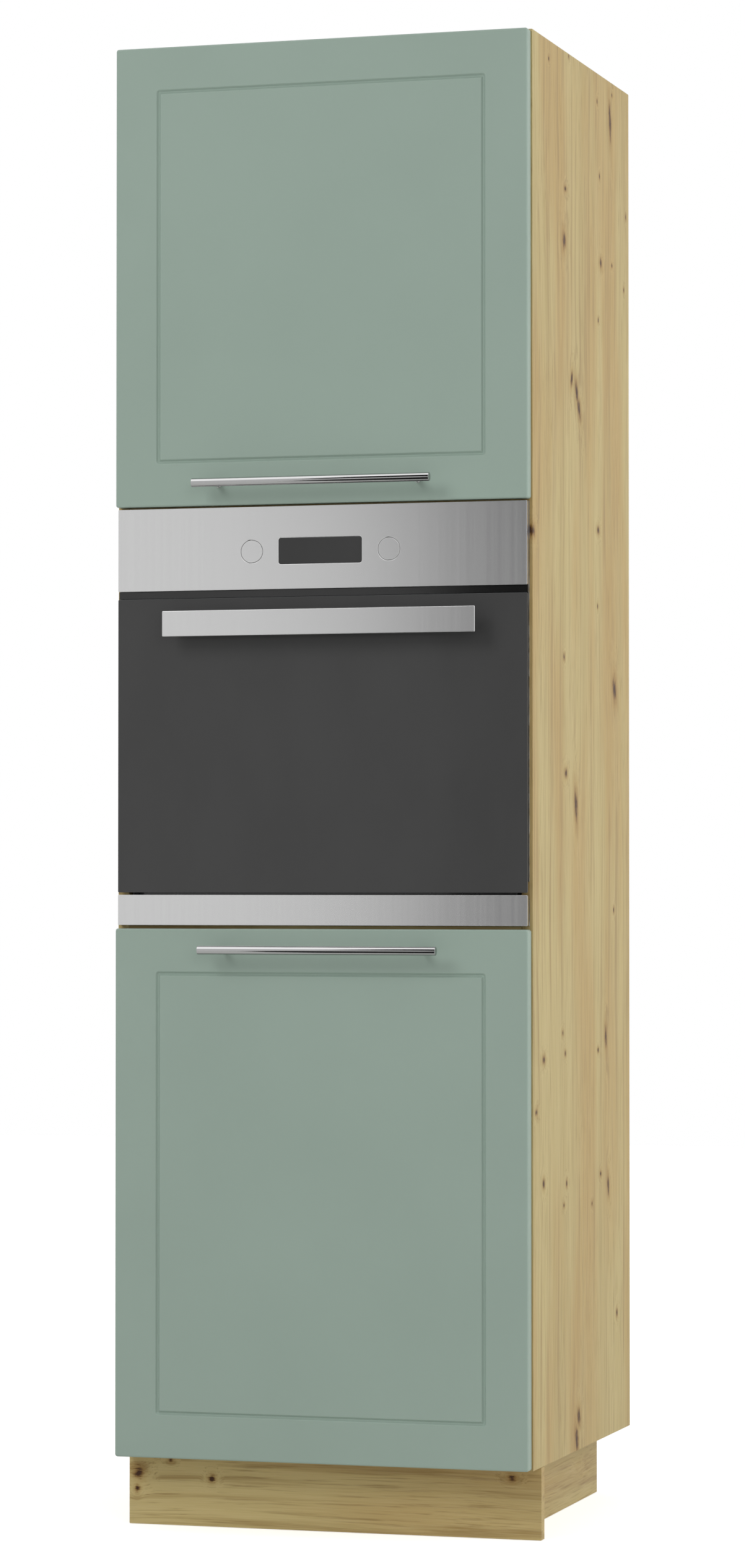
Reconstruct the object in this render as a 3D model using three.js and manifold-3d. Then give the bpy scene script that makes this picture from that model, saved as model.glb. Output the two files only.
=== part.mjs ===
import * as THREE from 'three';
import { mergeVertices } from 'three/addons/utils/BufferGeometryUtils.js';
import Module from 'manifold-3d';

// A tall kitchen housing unit for a built-in oven: a board carcass on a plinth, a hinged door
// above and below, and the oven between them. Millimetres, +Z up, front towards -Y.
// Depths are counted from the front face of the cabinet doors (y = 0) until the last step.

const wasm = await Module();
wasm.setup();

// ---------------------------------------------------------------- driving dimensions
// Carcass
const unitWidth = 600;
const unitHeight = 2070;
const carcassDepth = 560;
const boardThickness = 16;
const backThickness = 3;
const backInset = 1;
const seat = 0.3;

// Plinth
const plinthHeight = 100;
const plinthThickness = 16;
const plinthSetback = 46.4;
const plinthEndReveal = 0.7;
const plinthSideInset = 51;

// Cabinet doors
const doorThickness = 18;
const doorBufferGap = 0.6;
const doorSideReveal = 2;
const doorEndReveal = 1.2;
const doorCornerRadius = 3.5;
const lowerDoorHeight = 735.8;
const grooveInset = 62;
const grooveWidth = 6;
const grooveDepth = 2;

// Bar handles of the cabinet doors
const handleLength = 342;
const handleDiameter = 10;
const handleLegDiameter = 8;
const handleLegInset = 27;
const handleReach = 42;
const handleEdgeDistance = 29.2;
const upperHandleShift = -2;
const lowerHandleShift = 7;

// Concealed hinges
const hingePivotInset = 3;
const hingeCupDiameter = 35;
const hingeCupDepth = 11.5;
const hingeCupWall = 1.2;
const hingeCupEdge = 22.5;
const hingeEndDistance = 98;
const hingeWingSpan = 62;
const hingeWingWidth = 12;
const hingeWingThickness = 1;
const hingeWingOffset = 5.5;
const hingePlateDepth = 37;
const hingePlateSize = 36;
const hingePlateHeight = 52;
const hingePlateThickness = 2.5;
const hingeArmHeight = 18;
const hingeArmThickness = 10.5;
const hingeArmLength = 64;
const hingeLinkWidth = 3;
const hingeLinkHeight = 10;
const hingeLinkReach = 8;
const hingeLinkFromPivot = 17;

// Fixed and adjustable shelves
const ceilingLap = 10.6;
const shelfSetback = 30;
const shelfEndGap = 1;
const shelfBackGap = 2;
const pinDiameter = 5;
const pinLength = 16;
const pinDepth = 8;
const pinFrontDistance = 70;
const pinBackDistance = 60;
const pinHolePitch = 32;
const pinHoleSteps = [-1, 0, 1];

// Oven outside
const gapBelowOven = 4.7;
const gapAboveOven = 2.7;
const ovenSideReveal = 4.2;
const ovenFrontHeight = 580.9;
const ovenFrontSetback = 4.9;
const controlPanelHeight = 115.1;
const ventHeight = 10.6;
const trimHeight = 42.2;
const trimGap = 3.3;
const frontSheet = 2;
const frontDepth = 8;
const flangeThickness = 5.1;
const casingSideGap = 6;
const casingBackGap = 20;
const casingClearTop = 7;
const casingSheet = 2;
const panelCornerRadius = 1;

// Controls
const displayWidth = 120;
const displayHeight = 36;
const displayCornerRadius = 3;
const displayThickness = 4;
const controlsBelowTop = 62.4;
const knobSpacing = 198.6;
const knobDiameter = 31.4;
const knobHoleClearance = 0.5;
const knobLength = 20;
const knobChamfer = 0.6;
const knobShaftDiameter = 8;
const knobShaftLength = 46;
const knobShaftHeadDiameter = 20;
const knobShaftHeadThickness = 2;
const moduleEndGap = 10;
const moduleHeight = 76;
const moduleDepth = 41.4;
const moduleWall = 2;
const moduleRearWall = 4;
const moduleBossDiameter = 18;
const moduleBossLength = 12;
const moduleOpeningClearance = 1.3;

// Oven door
const glassThickness = 4;
const doorFrameThickness = 3.7;
const doorFrameInset = 1.8;
const doorFrameBar = 55;
const doorPanSideGap = 20;
const doorPanBottom = 9.8;
const doorPanTop = 10;
const doorPanDepth = 20.1;
const doorPanWall = 2;
const doorWindowInset = 36;
const innerGlassLap = 14;
const ovenPivotAboveBottom = 6.5;
const ovenPivotBehindFront = 6.5;
const ovenPinRadius = 1.6;
const ovenPinBoreClearance = 0.4;
const ovenPinLength = 11;
const ovenEarWidth = 11;
const ovenEarHeight = 12;
const ovenEarDepth = 10;
const ovenHingeWidth = 9.7;
const ovenHingeHeight = 44;
const ovenHingeArmWidth = 6;
const ovenHingeArmRadius = 2;
const ovenHingeNotchClearance = 0.5;
const ovenHandleInset = 70.7;
const ovenHandleHeight = 35.5;
const ovenHandleThickness = 6;
const ovenHandleReach = 37;
const ovenHandleDrop = 19;
const ovenHandleShift = 7;
const ovenHandleLegInset = 42;
const ovenHandleLegWidth = 16;
const ovenHandleLegHeight = 22;

// Oven cavity and what is in it
const cavitySideSpace = 43;
const cavityFloorSpace = 73.3;
const cavityRoofSpace = 147.6;
const cavityRearSpace = 110.6;
const cavityFaceDepth = 19.4;
const cavityFaceDrop = 112.9;
const sealWidth = 8;
const sealLap = 3;
const swingClearBelow = 3;
const swingClearAbove = 15;
const throatClearance = 5;
const ventSlotCount = 12;
const ventSlotBridge = 12;
const ventSlotHeight = 5;
const ventEndMargin = 19.8;
const rearSlotCount = 5;
const rearSlotWidth = 160;
const rearSlotHeight = 8;
const rearSlotPitch = 22;
const rearSlotDrop = 60;
const rackWire = 5;
const rackFront = 60;
const rackBackSpace = 50;
const rackRoofSpace = 30;
const rackRiseFromFloor = 30;
const rackFromWall = 6;
const rackRunnerStep = 3.5;
const rackRunnerCount = 5;
const rackPegInset = 30;
const wireShelfLevel = 2;
const wireShelfRods = 12;
const wireShelfBackSpace = 40;
const wireShelfRodStep = 2.5;
const wireShelfFromFront = 40;
const fanRadius = 68;
const fanHubRadius = 18;
const fanBladeCount = 10;
const fanBladeThickness = 2;
const fanBladeLap = 6;
const fanDepth = 14;
const fanShaftRadius = 4;
const fanShaftLength = 30;
const fanShaftClearance = 0.4;
const fanWallGap = 2;
const fanCoverWidth = 260;
const fanCoverHeight = 230;
const fanCoverDepth = 22;
const fanCoverSheet = 2;
const fanSlotCount = 12;
const fanSlotWidth = 7;
const fanSlotLength = 26;
const fanSlotRadius = 62;
const fanEyeRadius = 20;
const grillRodDiameter = 7;
const grillRuns = 6;
const grillSideSpace = 85;
const grillFrontSpace = 20;
const grillDrop = 18;
const grillFromBack = 60;
const lampRadius = 20;
const lampLength = 18;
const lampStemRadius = 12;
const lampFromSide = 55;
const lampDrop = 40;
const lampHoleClearance = 0.4;
const terminalWidth = 84;
const terminalHeight = 70;
const terminalDepth = 14;
const terminalFromSide = 88;
const rearSlotsFromCentre = 95;
const terminalDrop = 110.9;
const glandRadius = 6.5;
const glandLength = 12;
const glandBore = 3.6;

// How far a cutting tool reaches past the surface it opens
const overcut = 1;

// Facets of the round pieces
const fineSides = 32;
const roundSides = 20;
const smallSides = 10;
const wireSides = 6;

// ---------------------------------------------------------------- places worked out from them
const halfUnit = unitWidth / 2;
const halfInside = halfUnit - boardThickness;
const carcassFront = doorThickness + doorBufferGap;
const carcassBack = carcassFront + carcassDepth;
const boardBack = carcassBack - backThickness - seat;

const lowerDoorBottom = plinthHeight + doorEndReveal;
const lowerDoorTop = lowerDoorBottom + lowerDoorHeight;
const ovenBottom = lowerDoorTop + gapBelowOven;
const ovenTop = ovenBottom + ovenFrontHeight;
const upperDoorBottom = ovenTop + gapAboveOven;
const upperDoorTop = unitHeight - doorEndReveal;

const ovenShelfTop = ovenBottom - seat;
const ovenShelfBottom = ovenShelfTop - boardThickness;
const ceilingBottom = ovenTop - ceilingLap;
const ceilingTop = ceilingBottom + boardThickness;

const halfFront = halfUnit - ovenSideReveal;
const ovenFace = ovenFrontSetback;
const flangeFront = ovenFace + frontDepth + seat;
const flangeBack = flangeFront + flangeThickness;
const panelBottom = ovenTop - controlPanelHeight;
const ventBottom = panelBottom - ventHeight;
const trimTop = ovenBottom + trimHeight;
const glassBottom = trimTop + trimGap;
const glassTop = ventBottom - seat;
const glassBack = ovenFace + glassThickness;
const frameFront = glassBack + seat;
const frameBack = frameFront + doorFrameThickness;
const panBack = frameBack + doorPanDepth;
const panBottom = glassBottom + doorPanBottom;
const panTop = glassTop - doorPanTop;
const pivotY = ovenFace + ovenPivotBehindFront;
const pivotZ = glassBottom + ovenPivotAboveBottom;

const halfCasing = halfInside - casingSideGap;
const halfPan = halfCasing - doorPanSideGap;
const casingTop = ceilingBottom - casingClearTop;
const casingBack = carcassBack - casingBackGap;
const cavityFace = carcassFront + cavityFaceDepth;
const cavityBack = casingBack - cavityRearSpace;
const cavityBottom = ovenBottom + cavityFloorSpace;
const cavityTop = ovenTop - cavityRoofSpace;
const halfCavity = halfCasing - cavitySideSpace;
const fanZ = (cavityBottom + cavityTop) / 2;
const controlsZ = ovenTop - controlsBelowTop;

// ---------------------------------------------------------------- materials
const finish = (color, roughness, metalness = 0) =>
  new THREE.MeshStandardMaterial({ color, roughness, metalness });

const greenLacquer = finish('#8fa096', 0.5);
const oakDecor = finish('#bcaa82', 0.6);
const backBoard = finish('#c9bb98', 0.8);
const chrome = finish('#c9c9c9', 0.12, 1);
const zinc = finish('#a8aaab', 0.4, 1);
const steel = finish('#b9b9b9', 0.35, 1);
const darkGlass = finish('#404040', 0.15);
const clearGlass = finish('#5a5f5e', 0.1);
const blackPlastic = finish('#1c1c1c', 0.5);
const greyPlastic = finish('#8b8d8c', 0.6);
const galvanised = finish('#9da0a1', 0.45, 1);
const enamel = finish('#26272b', 0.25);
const wireSteel = finish('#b4b4b4', 0.25, 1);
const fibreSeal = finish('#3c3b39', 0.9);
const opalGlass = finish('#e8e4d8', 0.2);

// ---------------------------------------------------------------- geometry helpers
const unit = new THREE.Group();

function place(name, geometry, material) {
  const mesh = new THREE.Mesh(geometry, material);
  mesh.name = name;
  unit.add(mesh);
}

function solidOf(geometry) {
  const bare = geometry.clone();
  bare.deleteAttribute('normal');
  bare.deleteAttribute('uv');
  const merged = mergeVertices(bare);
  return new wasm.Manifold(new wasm.Mesh({
    numProp: 3,
    vertProperties: merged.attributes.position.array,
    triVerts: new Uint32Array(merged.index.array),
  }));
}

function geometryOf(solid) {
  const mesh = solid.getMesh();
  const geometry = new THREE.BufferGeometry();
  geometry.setAttribute('position', new THREE.BufferAttribute(mesh.vertProperties, 3));
  geometry.setIndex(new THREE.BufferAttribute(mesh.triVerts, 1));
  geometry.computeVertexNormals();
  return geometry;
}

// The first piece with all the others taken out of it.
function cut(base, ...tools) {
  return geometryOf(tools.reduce((solid, tool) => solid.subtract(solidOf(tool)), solidOf(base)));
}

function join(...pieces) {
  const [first, ...rest] = pieces.map(solidOf);
  return geometryOf(rest.reduce((solid, piece) => solid.add(piece), first));
}

// A box that reaches from the first to the second value along each axis.
function slab([x0, x1], [y0, y1], [z0, z1]) {
  const geometry = new THREE.BoxGeometry(x1 - x0, y1 - y0, z1 - z0);
  return geometry.translate((x0 + x1) / 2, (y0 + y1) / 2, (z0 + z1) / 2);
}

const across = (half) => [-half, half];
const around = (centre, size) => [centre - size / 2, centre + size / 2];

// An upright plate whose outline has rounded corners, seen from the front.
function roundedPlate([x0, x1], [y0, y1], [z0, z1], radius, steps = 3) {
  const outline = new THREE.Shape();
  outline.moveTo(x0 + radius, z0);
  outline.lineTo(x1 - radius, z0);
  outline.absarc(x1 - radius, z0 + radius, radius, -Math.PI / 2, 0);
  outline.lineTo(x1, z1 - radius);
  outline.absarc(x1 - radius, z1 - radius, radius, 0, Math.PI / 2);
  outline.lineTo(x0 + radius, z1);
  outline.absarc(x0 + radius, z1 - radius, radius, Math.PI / 2, Math.PI);
  outline.lineTo(x0, z0 + radius);
  outline.absarc(x0 + radius, z0 + radius, radius, Math.PI, Math.PI * 1.5);
  const options = { depth: y1 - y0, bevelEnabled: false, curveSegments: steps };
  const geometry = new THREE.ExtrudeGeometry(outline, options);
  return geometry.rotateX(Math.PI / 2).translate(0, y1, 0);
}

// Round bars along each axis, given by radius, ends and the place of the axis.
function barAlongX(radius, [x0, x1], y, z, sides) {
  const geometry = new THREE.CylinderGeometry(radius, radius, x1 - x0, sides);
  return geometry.rotateZ(Math.PI / 2).translate((x0 + x1) / 2, y, z);
}

function barAlongY(radius, [y0, y1], x, z, sides) {
  const geometry = new THREE.CylinderGeometry(radius, radius, y1 - y0, sides);
  return geometry.translate(x, (y0 + y1) / 2, z);
}

function barAlongZ(radius, [z0, z1], x, y, sides) {
  const geometry = new THREE.CylinderGeometry(radius, radius, z1 - z0, sides);
  return geometry.rotateX(Math.PI / 2).translate(x, y, (z0 + z1) / 2);
}

// A turned piece whose axis runs front to back; the profile lists [radius, depth].
function turned(profile, x, z, sides) {
  const points = profile.map(([radius, depth]) => new THREE.Vector2(radius, depth));
  return new THREE.LatheGeometry(points, sides).translate(x, 0, z);
}

const bothSides = [
  { side: 'left', sign: -1 },
  { side: 'right', sign: 1 },
];

// Mirrors a stretch along X when it belongs to the left side.
const toSide = (sign, [x0, x1]) => (sign > 0 ? [x0, x1] : [-x1, -x0]);

// ---------------------------------------------------------------- carcass
const compartments = [
  { level: 'lower', floor: plinthHeight + boardThickness, roof: ovenShelfBottom },
  { level: 'upper', floor: ceilingTop, roof: unitHeight - boardThickness },
];
const middleOf = ({ floor, roof }) => (floor + roof) / 2;
const pinDepths = [carcassFront + pinFrontDistance, boardBack - pinBackDistance];

function addSidePanels() {
  for (const { side, sign } of bothSides) {
    const panel = slab(
      toSide(sign, [halfInside, halfUnit]), [carcassFront, boardBack], [plinthHeight, unitHeight]);
    const holes = [];
    for (const compartment of compartments) {
      for (const y of pinDepths) {
        for (const step of pinHoleSteps) {
          const ends = toSide(sign, [halfInside - overcut, halfInside + pinDepth + seat]);
          const z = middleOf(compartment) + step * pinHolePitch;
          holes.push(barAlongX(pinDiameter / 2 + seat, ends, y, z, smallSides));
        }
      }
    }
    place(`side_panel_${side}`, cut(panel, ...holes), oakDecor);
  }
}

function addFixedBoards() {
  const boards = {
    bottom_panel: plinthHeight,
    oven_floor_board: ovenShelfBottom,
    oven_ceiling_board: ceilingBottom,
    top_panel: unitHeight - boardThickness,
  };
  for (const [name, bottom] of Object.entries(boards)) {
    const levels = [bottom, bottom + boardThickness];
    place(name, slab(across(halfInside - seat), [carcassFront, boardBack], levels), oakDecor);
  }
}

function addBackPanels() {
  const depth = [carcassBack - backThickness, carcassBack];
  const width = across(halfUnit - backInset);
  place('back_panel_lower', slab(width, depth, [plinthHeight + backInset, ovenShelfTop]), backBoard);
  place('back_panel_upper', slab(width, depth, [ceilingBottom, unitHeight - backInset]), backBoard);
}

function addAdjustableShelves() {
  for (const compartment of compartments) {
    const pinZ = middleOf(compartment);
    const shelfBottom = pinZ + pinDiameter / 2 + seat;
    place(`adjustable_shelf_${compartment.level}`, slab(
      across(halfInside - shelfEndGap),
      [carcassFront + shelfSetback, boardBack - shelfBackGap],
      [shelfBottom, shelfBottom + boardThickness]), oakDecor);
    for (const { side, sign } of bothSides) {
      pinDepths.forEach((y, row) => {
        const ends = toSide(sign, [halfInside + pinDepth - pinLength, halfInside + pinDepth]);
        const name = `shelf_pin_${compartment.level}_${side}_${row === 0 ? 'front' : 'back'}`;
        place(name, barAlongX(pinDiameter / 2, ends, y, pinZ, smallSides), zinc);
      });
    }
  }
}

function addPlinth() {
  const front = carcassFront + plinthSetback;
  const back = front + plinthThickness;
  const levels = [0, plinthHeight - seat];
  place('plinth_front', slab(across(halfUnit - plinthEndReveal), [front, back], levels), oakDecor);
  for (const { side, sign } of bothSides) {
    const outer = halfUnit - plinthSideInset;
    const width = toSide(sign, [outer - plinthThickness, outer]);
    place(`plinth_${side}`, slab(width, [back + seat, carcassBack], levels), oakDecor);
  }
}

// ---------------------------------------------------------------- cabinet doors
const halfDoor = halfUnit - doorSideReveal;
const hingeCupX = -halfDoor + hingeCupEdge;

// The milled rectangle: a ring between an outer and an inner outline.
function grooveRing([z0, z1]) {
  const outer = grooveInset - grooveWidth / 2;
  const inner = grooveInset + grooveWidth / 2;
  const depth = [-overcut, grooveDepth];
  return cut(
    slab(across(halfDoor - outer), depth, [z0 + outer, z1 - outer]),
    slab(across(halfDoor - inner), depth, [z0 + inner, z1 - inner]));
}

function addDoor(name, levels, hingeLevels) {
  const board = roundedPlate(across(halfDoor), [0, doorThickness], levels, doorCornerRadius);
  const pockets = hingeLevels.map((z) => barAlongY(
    hingeCupDiameter / 2 + seat, [doorThickness - hingeCupDepth - seat, doorThickness + overcut],
    hingeCupX, z, roundSides));
  place(name, cut(board, grooveRing(levels), ...pockets), greenLacquer);
}

function addHandle(name, z, shift) {
  const barY = -handleReach + handleDiameter / 2;
  const bar = barAlongX(
    handleDiameter / 2, [shift - handleLength / 2, shift + handleLength / 2], barY, z, roundSides);
  const legX = handleLength / 2 - handleLegInset;
  const legs = bothSides.map(({ sign }) => barAlongY(
    handleLegDiameter / 2, [barY, -seat], shift + sign * legX, z, smallSides));
  place(name, join(bar, ...legs), chrome);
}

// The cup sunk in the door, with its two screw wings on the door's inner face.
function addHingeCup(name, z) {
  const radius = hingeCupDiameter / 2;
  const floor = doorThickness - hingeCupDepth;
  const bowl = turned([
    [0, floor], [radius, floor], [radius, doorThickness], [radius - hingeCupWall, doorThickness],
    [radius - hingeCupWall, floor + hingeCupWall], [0, floor + hingeCupWall],
  ], hingeCupX, z, roundSides);
  const wingX = hingeCupX + hingeWingOffset;
  const wings = cut(
    slab(
      around(wingX, hingeWingWidth),
      [doorThickness + seat, doorThickness + seat + hingeWingThickness], around(z, hingeWingSpan)),
    barAlongY(
      radius - hingeCupWall, [doorThickness, doorThickness + hingeWingThickness * 2],
      hingeCupX, z, roundSides));
  const rim = cut(
    barAlongY(
      radius, [doorThickness - hingeCupWall, doorThickness + seat + hingeWingThickness],
      hingeCupX, z, roundSides),
    barAlongY(radius - hingeCupWall, [0, doorThickness * 2], hingeCupX, z, roundSides),
    slab([-halfUnit, wingX - hingeWingWidth / 2], [0, doorThickness * 2], around(z, hingeWingSpan)));
  place(name, join(bowl, wings, rim), zinc);
}

// The arm on its mounting plate at the side panel; its link reaches into the cup.
function addHingeArm(name, z) {
  const wall = -halfInside + seat;
  const plateX = [wall, wall + hingePlateThickness];
  const plate = slab(
    plateX, around(carcassFront + hingePlateDepth, hingePlateSize), around(z, hingePlateHeight));
  const armFront = doorThickness + seat + hingeWingThickness + seat;
  const arm = slab(
    [wall, wall + hingePlateThickness + hingeArmThickness],
    [armFront, armFront + hingeArmLength], around(z, hingeArmHeight));
  const linkX = -halfDoor + hingePivotInset + hingeLinkFromPivot;
  const link = slab(
    [linkX, linkX + hingeLinkWidth], [doorThickness - hingeLinkReach, armFront + hingeLinkReach],
    around(z, hingeLinkHeight));
  place(name, join(plate, arm, link), zinc);
}

function addCabinetDoors() {
  const doors = [
    {
      name: 'upper',
      levels: [upperDoorBottom, upperDoorTop],
      handleZ: upperDoorBottom + handleEdgeDistance,
      shift: upperHandleShift,
    },
    {
      name: 'lower',
      levels: [lowerDoorBottom, lowerDoorTop],
      handleZ: lowerDoorTop - handleEdgeDistance,
      shift: lowerHandleShift,
    },
  ];
  for (const { name, levels, handleZ, shift } of doors) {
    const hingeLevels = [levels[0] + hingeEndDistance, levels[1] - hingeEndDistance];
    addDoor(`${name}_door`, levels, hingeLevels);
    addHandle(`${name}_handle`, handleZ, shift);
    hingeLevels.forEach((z, row) => {
      const place = row === 0 ? 'bottom' : 'top';
      addHingeCup(`${name}_hinge_cup_${place}`, z);
      addHingeArm(`${name}_hinge_arm_${place}`, z);
    });
  }
}

// ---------------------------------------------------------------- oven front
function addControlPanel() {
  const shell = roundedPlate(
    across(halfFront), [ovenFace, ovenFace + frontDepth], [panelBottom, ovenTop], panelCornerRadius);
  const hollow = slab(
    across(halfFront - frontSheet), [ovenFace + frontSheet, ovenFace + frontDepth + overcut],
    [panelBottom + frontSheet, ovenTop - frontSheet]);
  const through = [ovenFace - overcut, ovenFace + frontDepth];
  const displayHole = roundedPlate(
    across(displayWidth / 2), through, around(controlsZ, displayHeight), displayCornerRadius);
  const knobHoles = bothSides.map(({ sign }) => barAlongY(
    knobDiameter / 2 + knobHoleClearance, through, sign * knobSpacing / 2, controlsZ, fineSides));
  place('control_panel', cut(shell, hollow, displayHole, ...knobHoles), steel);
  place('display_window', roundedPlate(
    across(displayWidth / 2 - seat), [ovenFace + seat, ovenFace + seat + displayThickness],
    around(controlsZ, displayHeight - seat * 2), displayCornerRadius), darkGlass);
}

function addKnobs() {
  const radius = knobDiameter / 2;
  const back = ovenFace + knobLength;
  const headBack = back + seat + knobShaftHeadThickness;
  for (const { side, sign } of bothSides) {
    const x = sign * knobSpacing / 2;
    place(`knob_${side}`, turned([
      [0, ovenFace], [radius - knobChamfer, ovenFace], [radius, ovenFace + knobChamfer],
      [radius, back], [0, back],
    ], x, controlsZ, fineSides), steel);
    place(`switch_shaft_${side}`, turned([
      [0, back + seat], [knobShaftHeadDiameter / 2, back + seat],
      [knobShaftHeadDiameter / 2, headBack], [knobShaftDiameter / 2, headBack],
      [knobShaftDiameter / 2, headBack + knobShaftLength], [0, headBack + knobShaftLength],
    ], x, controlsZ, smallSides * 2), zinc);
  }
}

// The tray behind the panel that carries the electronics and guides the two switch shafts.
function addControlModule() {
  const front = flangeBack + seat;
  const back = front + moduleDepth;
  const half = halfCasing - moduleEndGap;
  const outer = slab(across(half), [front, back], around(controlsZ, moduleHeight));
  const inner = slab(
    across(half + overcut), [front + moduleWall, back - moduleRearWall],
    around(controlsZ, moduleHeight - moduleWall * 2));
  const tray = cut(outer, inner);
  const bosses = bothSides.map(({ sign }) => barAlongY(
    moduleBossDiameter / 2, [back - moduleBossLength, back], sign * knobSpacing / 2, controlsZ,
    roundSides));
  const bores = bothSides.map(({ sign }) => barAlongY(
    knobShaftDiameter / 2 + seat, [back - moduleBossLength - overcut, back + overcut],
    sign * knobSpacing / 2, controlsZ, roundSides));
  const openings = bothSides.map(({ sign }) => barAlongY(
    knobDiameter / 2 + moduleOpeningClearance, [front - overcut, front + moduleWall + overcut],
    sign * knobSpacing / 2, controlsZ, fineSides));
  place('control_module', cut(join(tray, ...bosses), ...bores, ...openings), greyPlastic);
}

function addVentStrip() {
  const depth = [frameFront, ovenFace + frontDepth];
  const middle = ventBottom + ventHeight / 2;
  const strip = slab(across(halfFront), depth, [ventBottom + seat, panelBottom - seat]);
  const slots = [];
  const pitch = (halfFront - ventEndMargin) * 2 / ventSlotCount;
  for (let i = 0; i < ventSlotCount; i += 1) {
    const x = (i - (ventSlotCount - 1) / 2) * pitch;
    slots.push(slab(
      around(x, pitch - ventSlotBridge), [depth[0] - overcut, depth[1] + overcut],
      around(middle, ventSlotHeight)));
  }
  place('vent_strip', cut(strip, ...slots), blackPlastic);
}

function addBottomTrim() {
  const shell = roundedPlate(
    across(halfFront), [ovenFace, ovenFace + frontDepth], [ovenBottom, trimTop], panelCornerRadius);
  const hollow = slab(
    across(halfFront - frontSheet), [ovenFace + frontSheet, ovenFace + frontDepth + overcut],
    [ovenBottom + frontSheet, trimTop - frontSheet]);
  place('bottom_trim', cut(shell, hollow), steel);
}

// ---------------------------------------------------------------- oven door
const earInner = halfPan - ovenEarWidth / 2;
const earOuter = earInner + ovenEarWidth;
const armInner = earOuter + seat * 2;

function addOvenDoor() {
  place('oven_door_glass', roundedPlate(
    across(halfFront), [ovenFace, glassBack], [glassBottom, glassTop], panelCornerRadius), darkGlass);

  const halfFrame = halfFront - doorFrameInset;
  const frameLevels = [glassBottom + doorFrameInset, glassTop - doorFrameInset];
  const sheet = slab(across(halfFrame), [frameFront, frameBack], frameLevels);
  const sheetWindow = slab(
    across(halfFrame - doorFrameBar), [frameFront - overcut, frameBack + overcut],
    [frameLevels[0] + doorFrameBar / 2, frameLevels[1] - doorFrameBar / 2]);
  const pan = slab(across(halfPan), [frameFront, panBack], [panBottom, panTop]);
  const panHollow = slab(
    across(halfPan - doorPanWall), [frameFront - overcut, panBack - doorPanWall],
    [panBottom + doorPanWall, panTop - doorPanWall]);
  const window = slab(
    across(halfPan - doorWindowInset), [frameFront, panBack + overcut],
    [panBottom + doorWindowInset, panTop - doorWindowInset]);
  const frame = join(cut(sheet, sheetWindow), cut(pan, panHollow, window));
  const ears = bothSides.map(({ sign }) => slab(
    toSide(sign, [earInner, earOuter]), [frameFront, frameFront + ovenEarDepth],
    [glassBottom + doorFrameInset, glassBottom + doorFrameInset + ovenEarHeight]));
  const bores = bothSides.map(({ sign }) => barAlongX(
    ovenPinRadius + ovenPinBoreClearance, toSide(sign, [earInner - seat, armInner]), pivotY, pivotZ,
    smallSides));
  const notchTop = pivotZ + ovenHingeArmRadius + ovenHingeNotchClearance;
  const notches = bothSides.map(({ sign }) => slab(
    toSide(sign, [earOuter, armInner + ovenHingeArmWidth + ovenHingeNotchClearance]),
    [frameFront - overcut, frameBack + overcut], [glassBottom - overcut, notchTop]));
  place('oven_door_frame', cut(join(frame, ...ears), ...bores, ...notches), galvanised);

  place('oven_inner_glass', slab(
    across(halfPan - doorWindowInset + innerGlassLap),
    [panBack - doorPanWall - seat - glassThickness, panBack - doorPanWall - seat],
    [panBottom + doorWindowInset - innerGlassLap, panTop - doorWindowInset + innerGlassLap]),
  clearGlass);
}

function addOvenHandle() {
  const front = ovenFace - ovenHandleReach;
  const half = halfFront - ovenHandleInset;
  const z = glassTop - ovenHandleDrop - ovenHandleHeight / 2;
  const bar = slab(
    [ovenHandleShift - half, ovenHandleShift + half], [front, front + ovenHandleThickness],
    around(z, ovenHandleHeight));
  const legs = bothSides.map(({ sign }) => slab(
    around(ovenHandleShift + sign * (half - ovenHandleLegInset), ovenHandleLegWidth),
    [front + ovenHandleThickness / 2, ovenFace - seat], around(z, ovenHandleLegHeight)));
  place('oven_handle', join(bar, ...legs), steel);
}

// Each hinge: a block on the casing wall, an arm to the door and the pin that the ear turns on.
function addOvenHinges() {
  for (const { side, sign } of bothSides) {
    const blockOuter = halfCasing - casingSheet - seat;
    const block = slab(
      toSide(sign, [blockOuter - ovenHingeWidth, blockOuter]), [flangeBack + seat, cavityFace - seat],
      [pivotZ - ovenHingeArmRadius, pivotZ - ovenHingeArmRadius + ovenHingeHeight]);
    const armX = toSide(sign, [armInner, armInner + ovenHingeArmWidth]);
    const arm = slab(
      armX, [pivotY, flangeBack + ovenHingeWidth],
      [pivotZ - ovenHingeArmRadius, pivotZ + ovenHingeArmRadius]);
    const knuckle = barAlongX(ovenHingeArmRadius, armX, pivotY, pivotZ, roundSides);
    const pinX = toSide(sign, [armInner - ovenPinLength, armInner + ovenHingeArmWidth / 2]);
    const pin = barAlongX(ovenPinRadius, pinX, pivotY, pivotZ, smallSides);
    place(`oven_hinge_${side}`, join(block, arm, knuckle, pin), zinc);
  }
}

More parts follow.
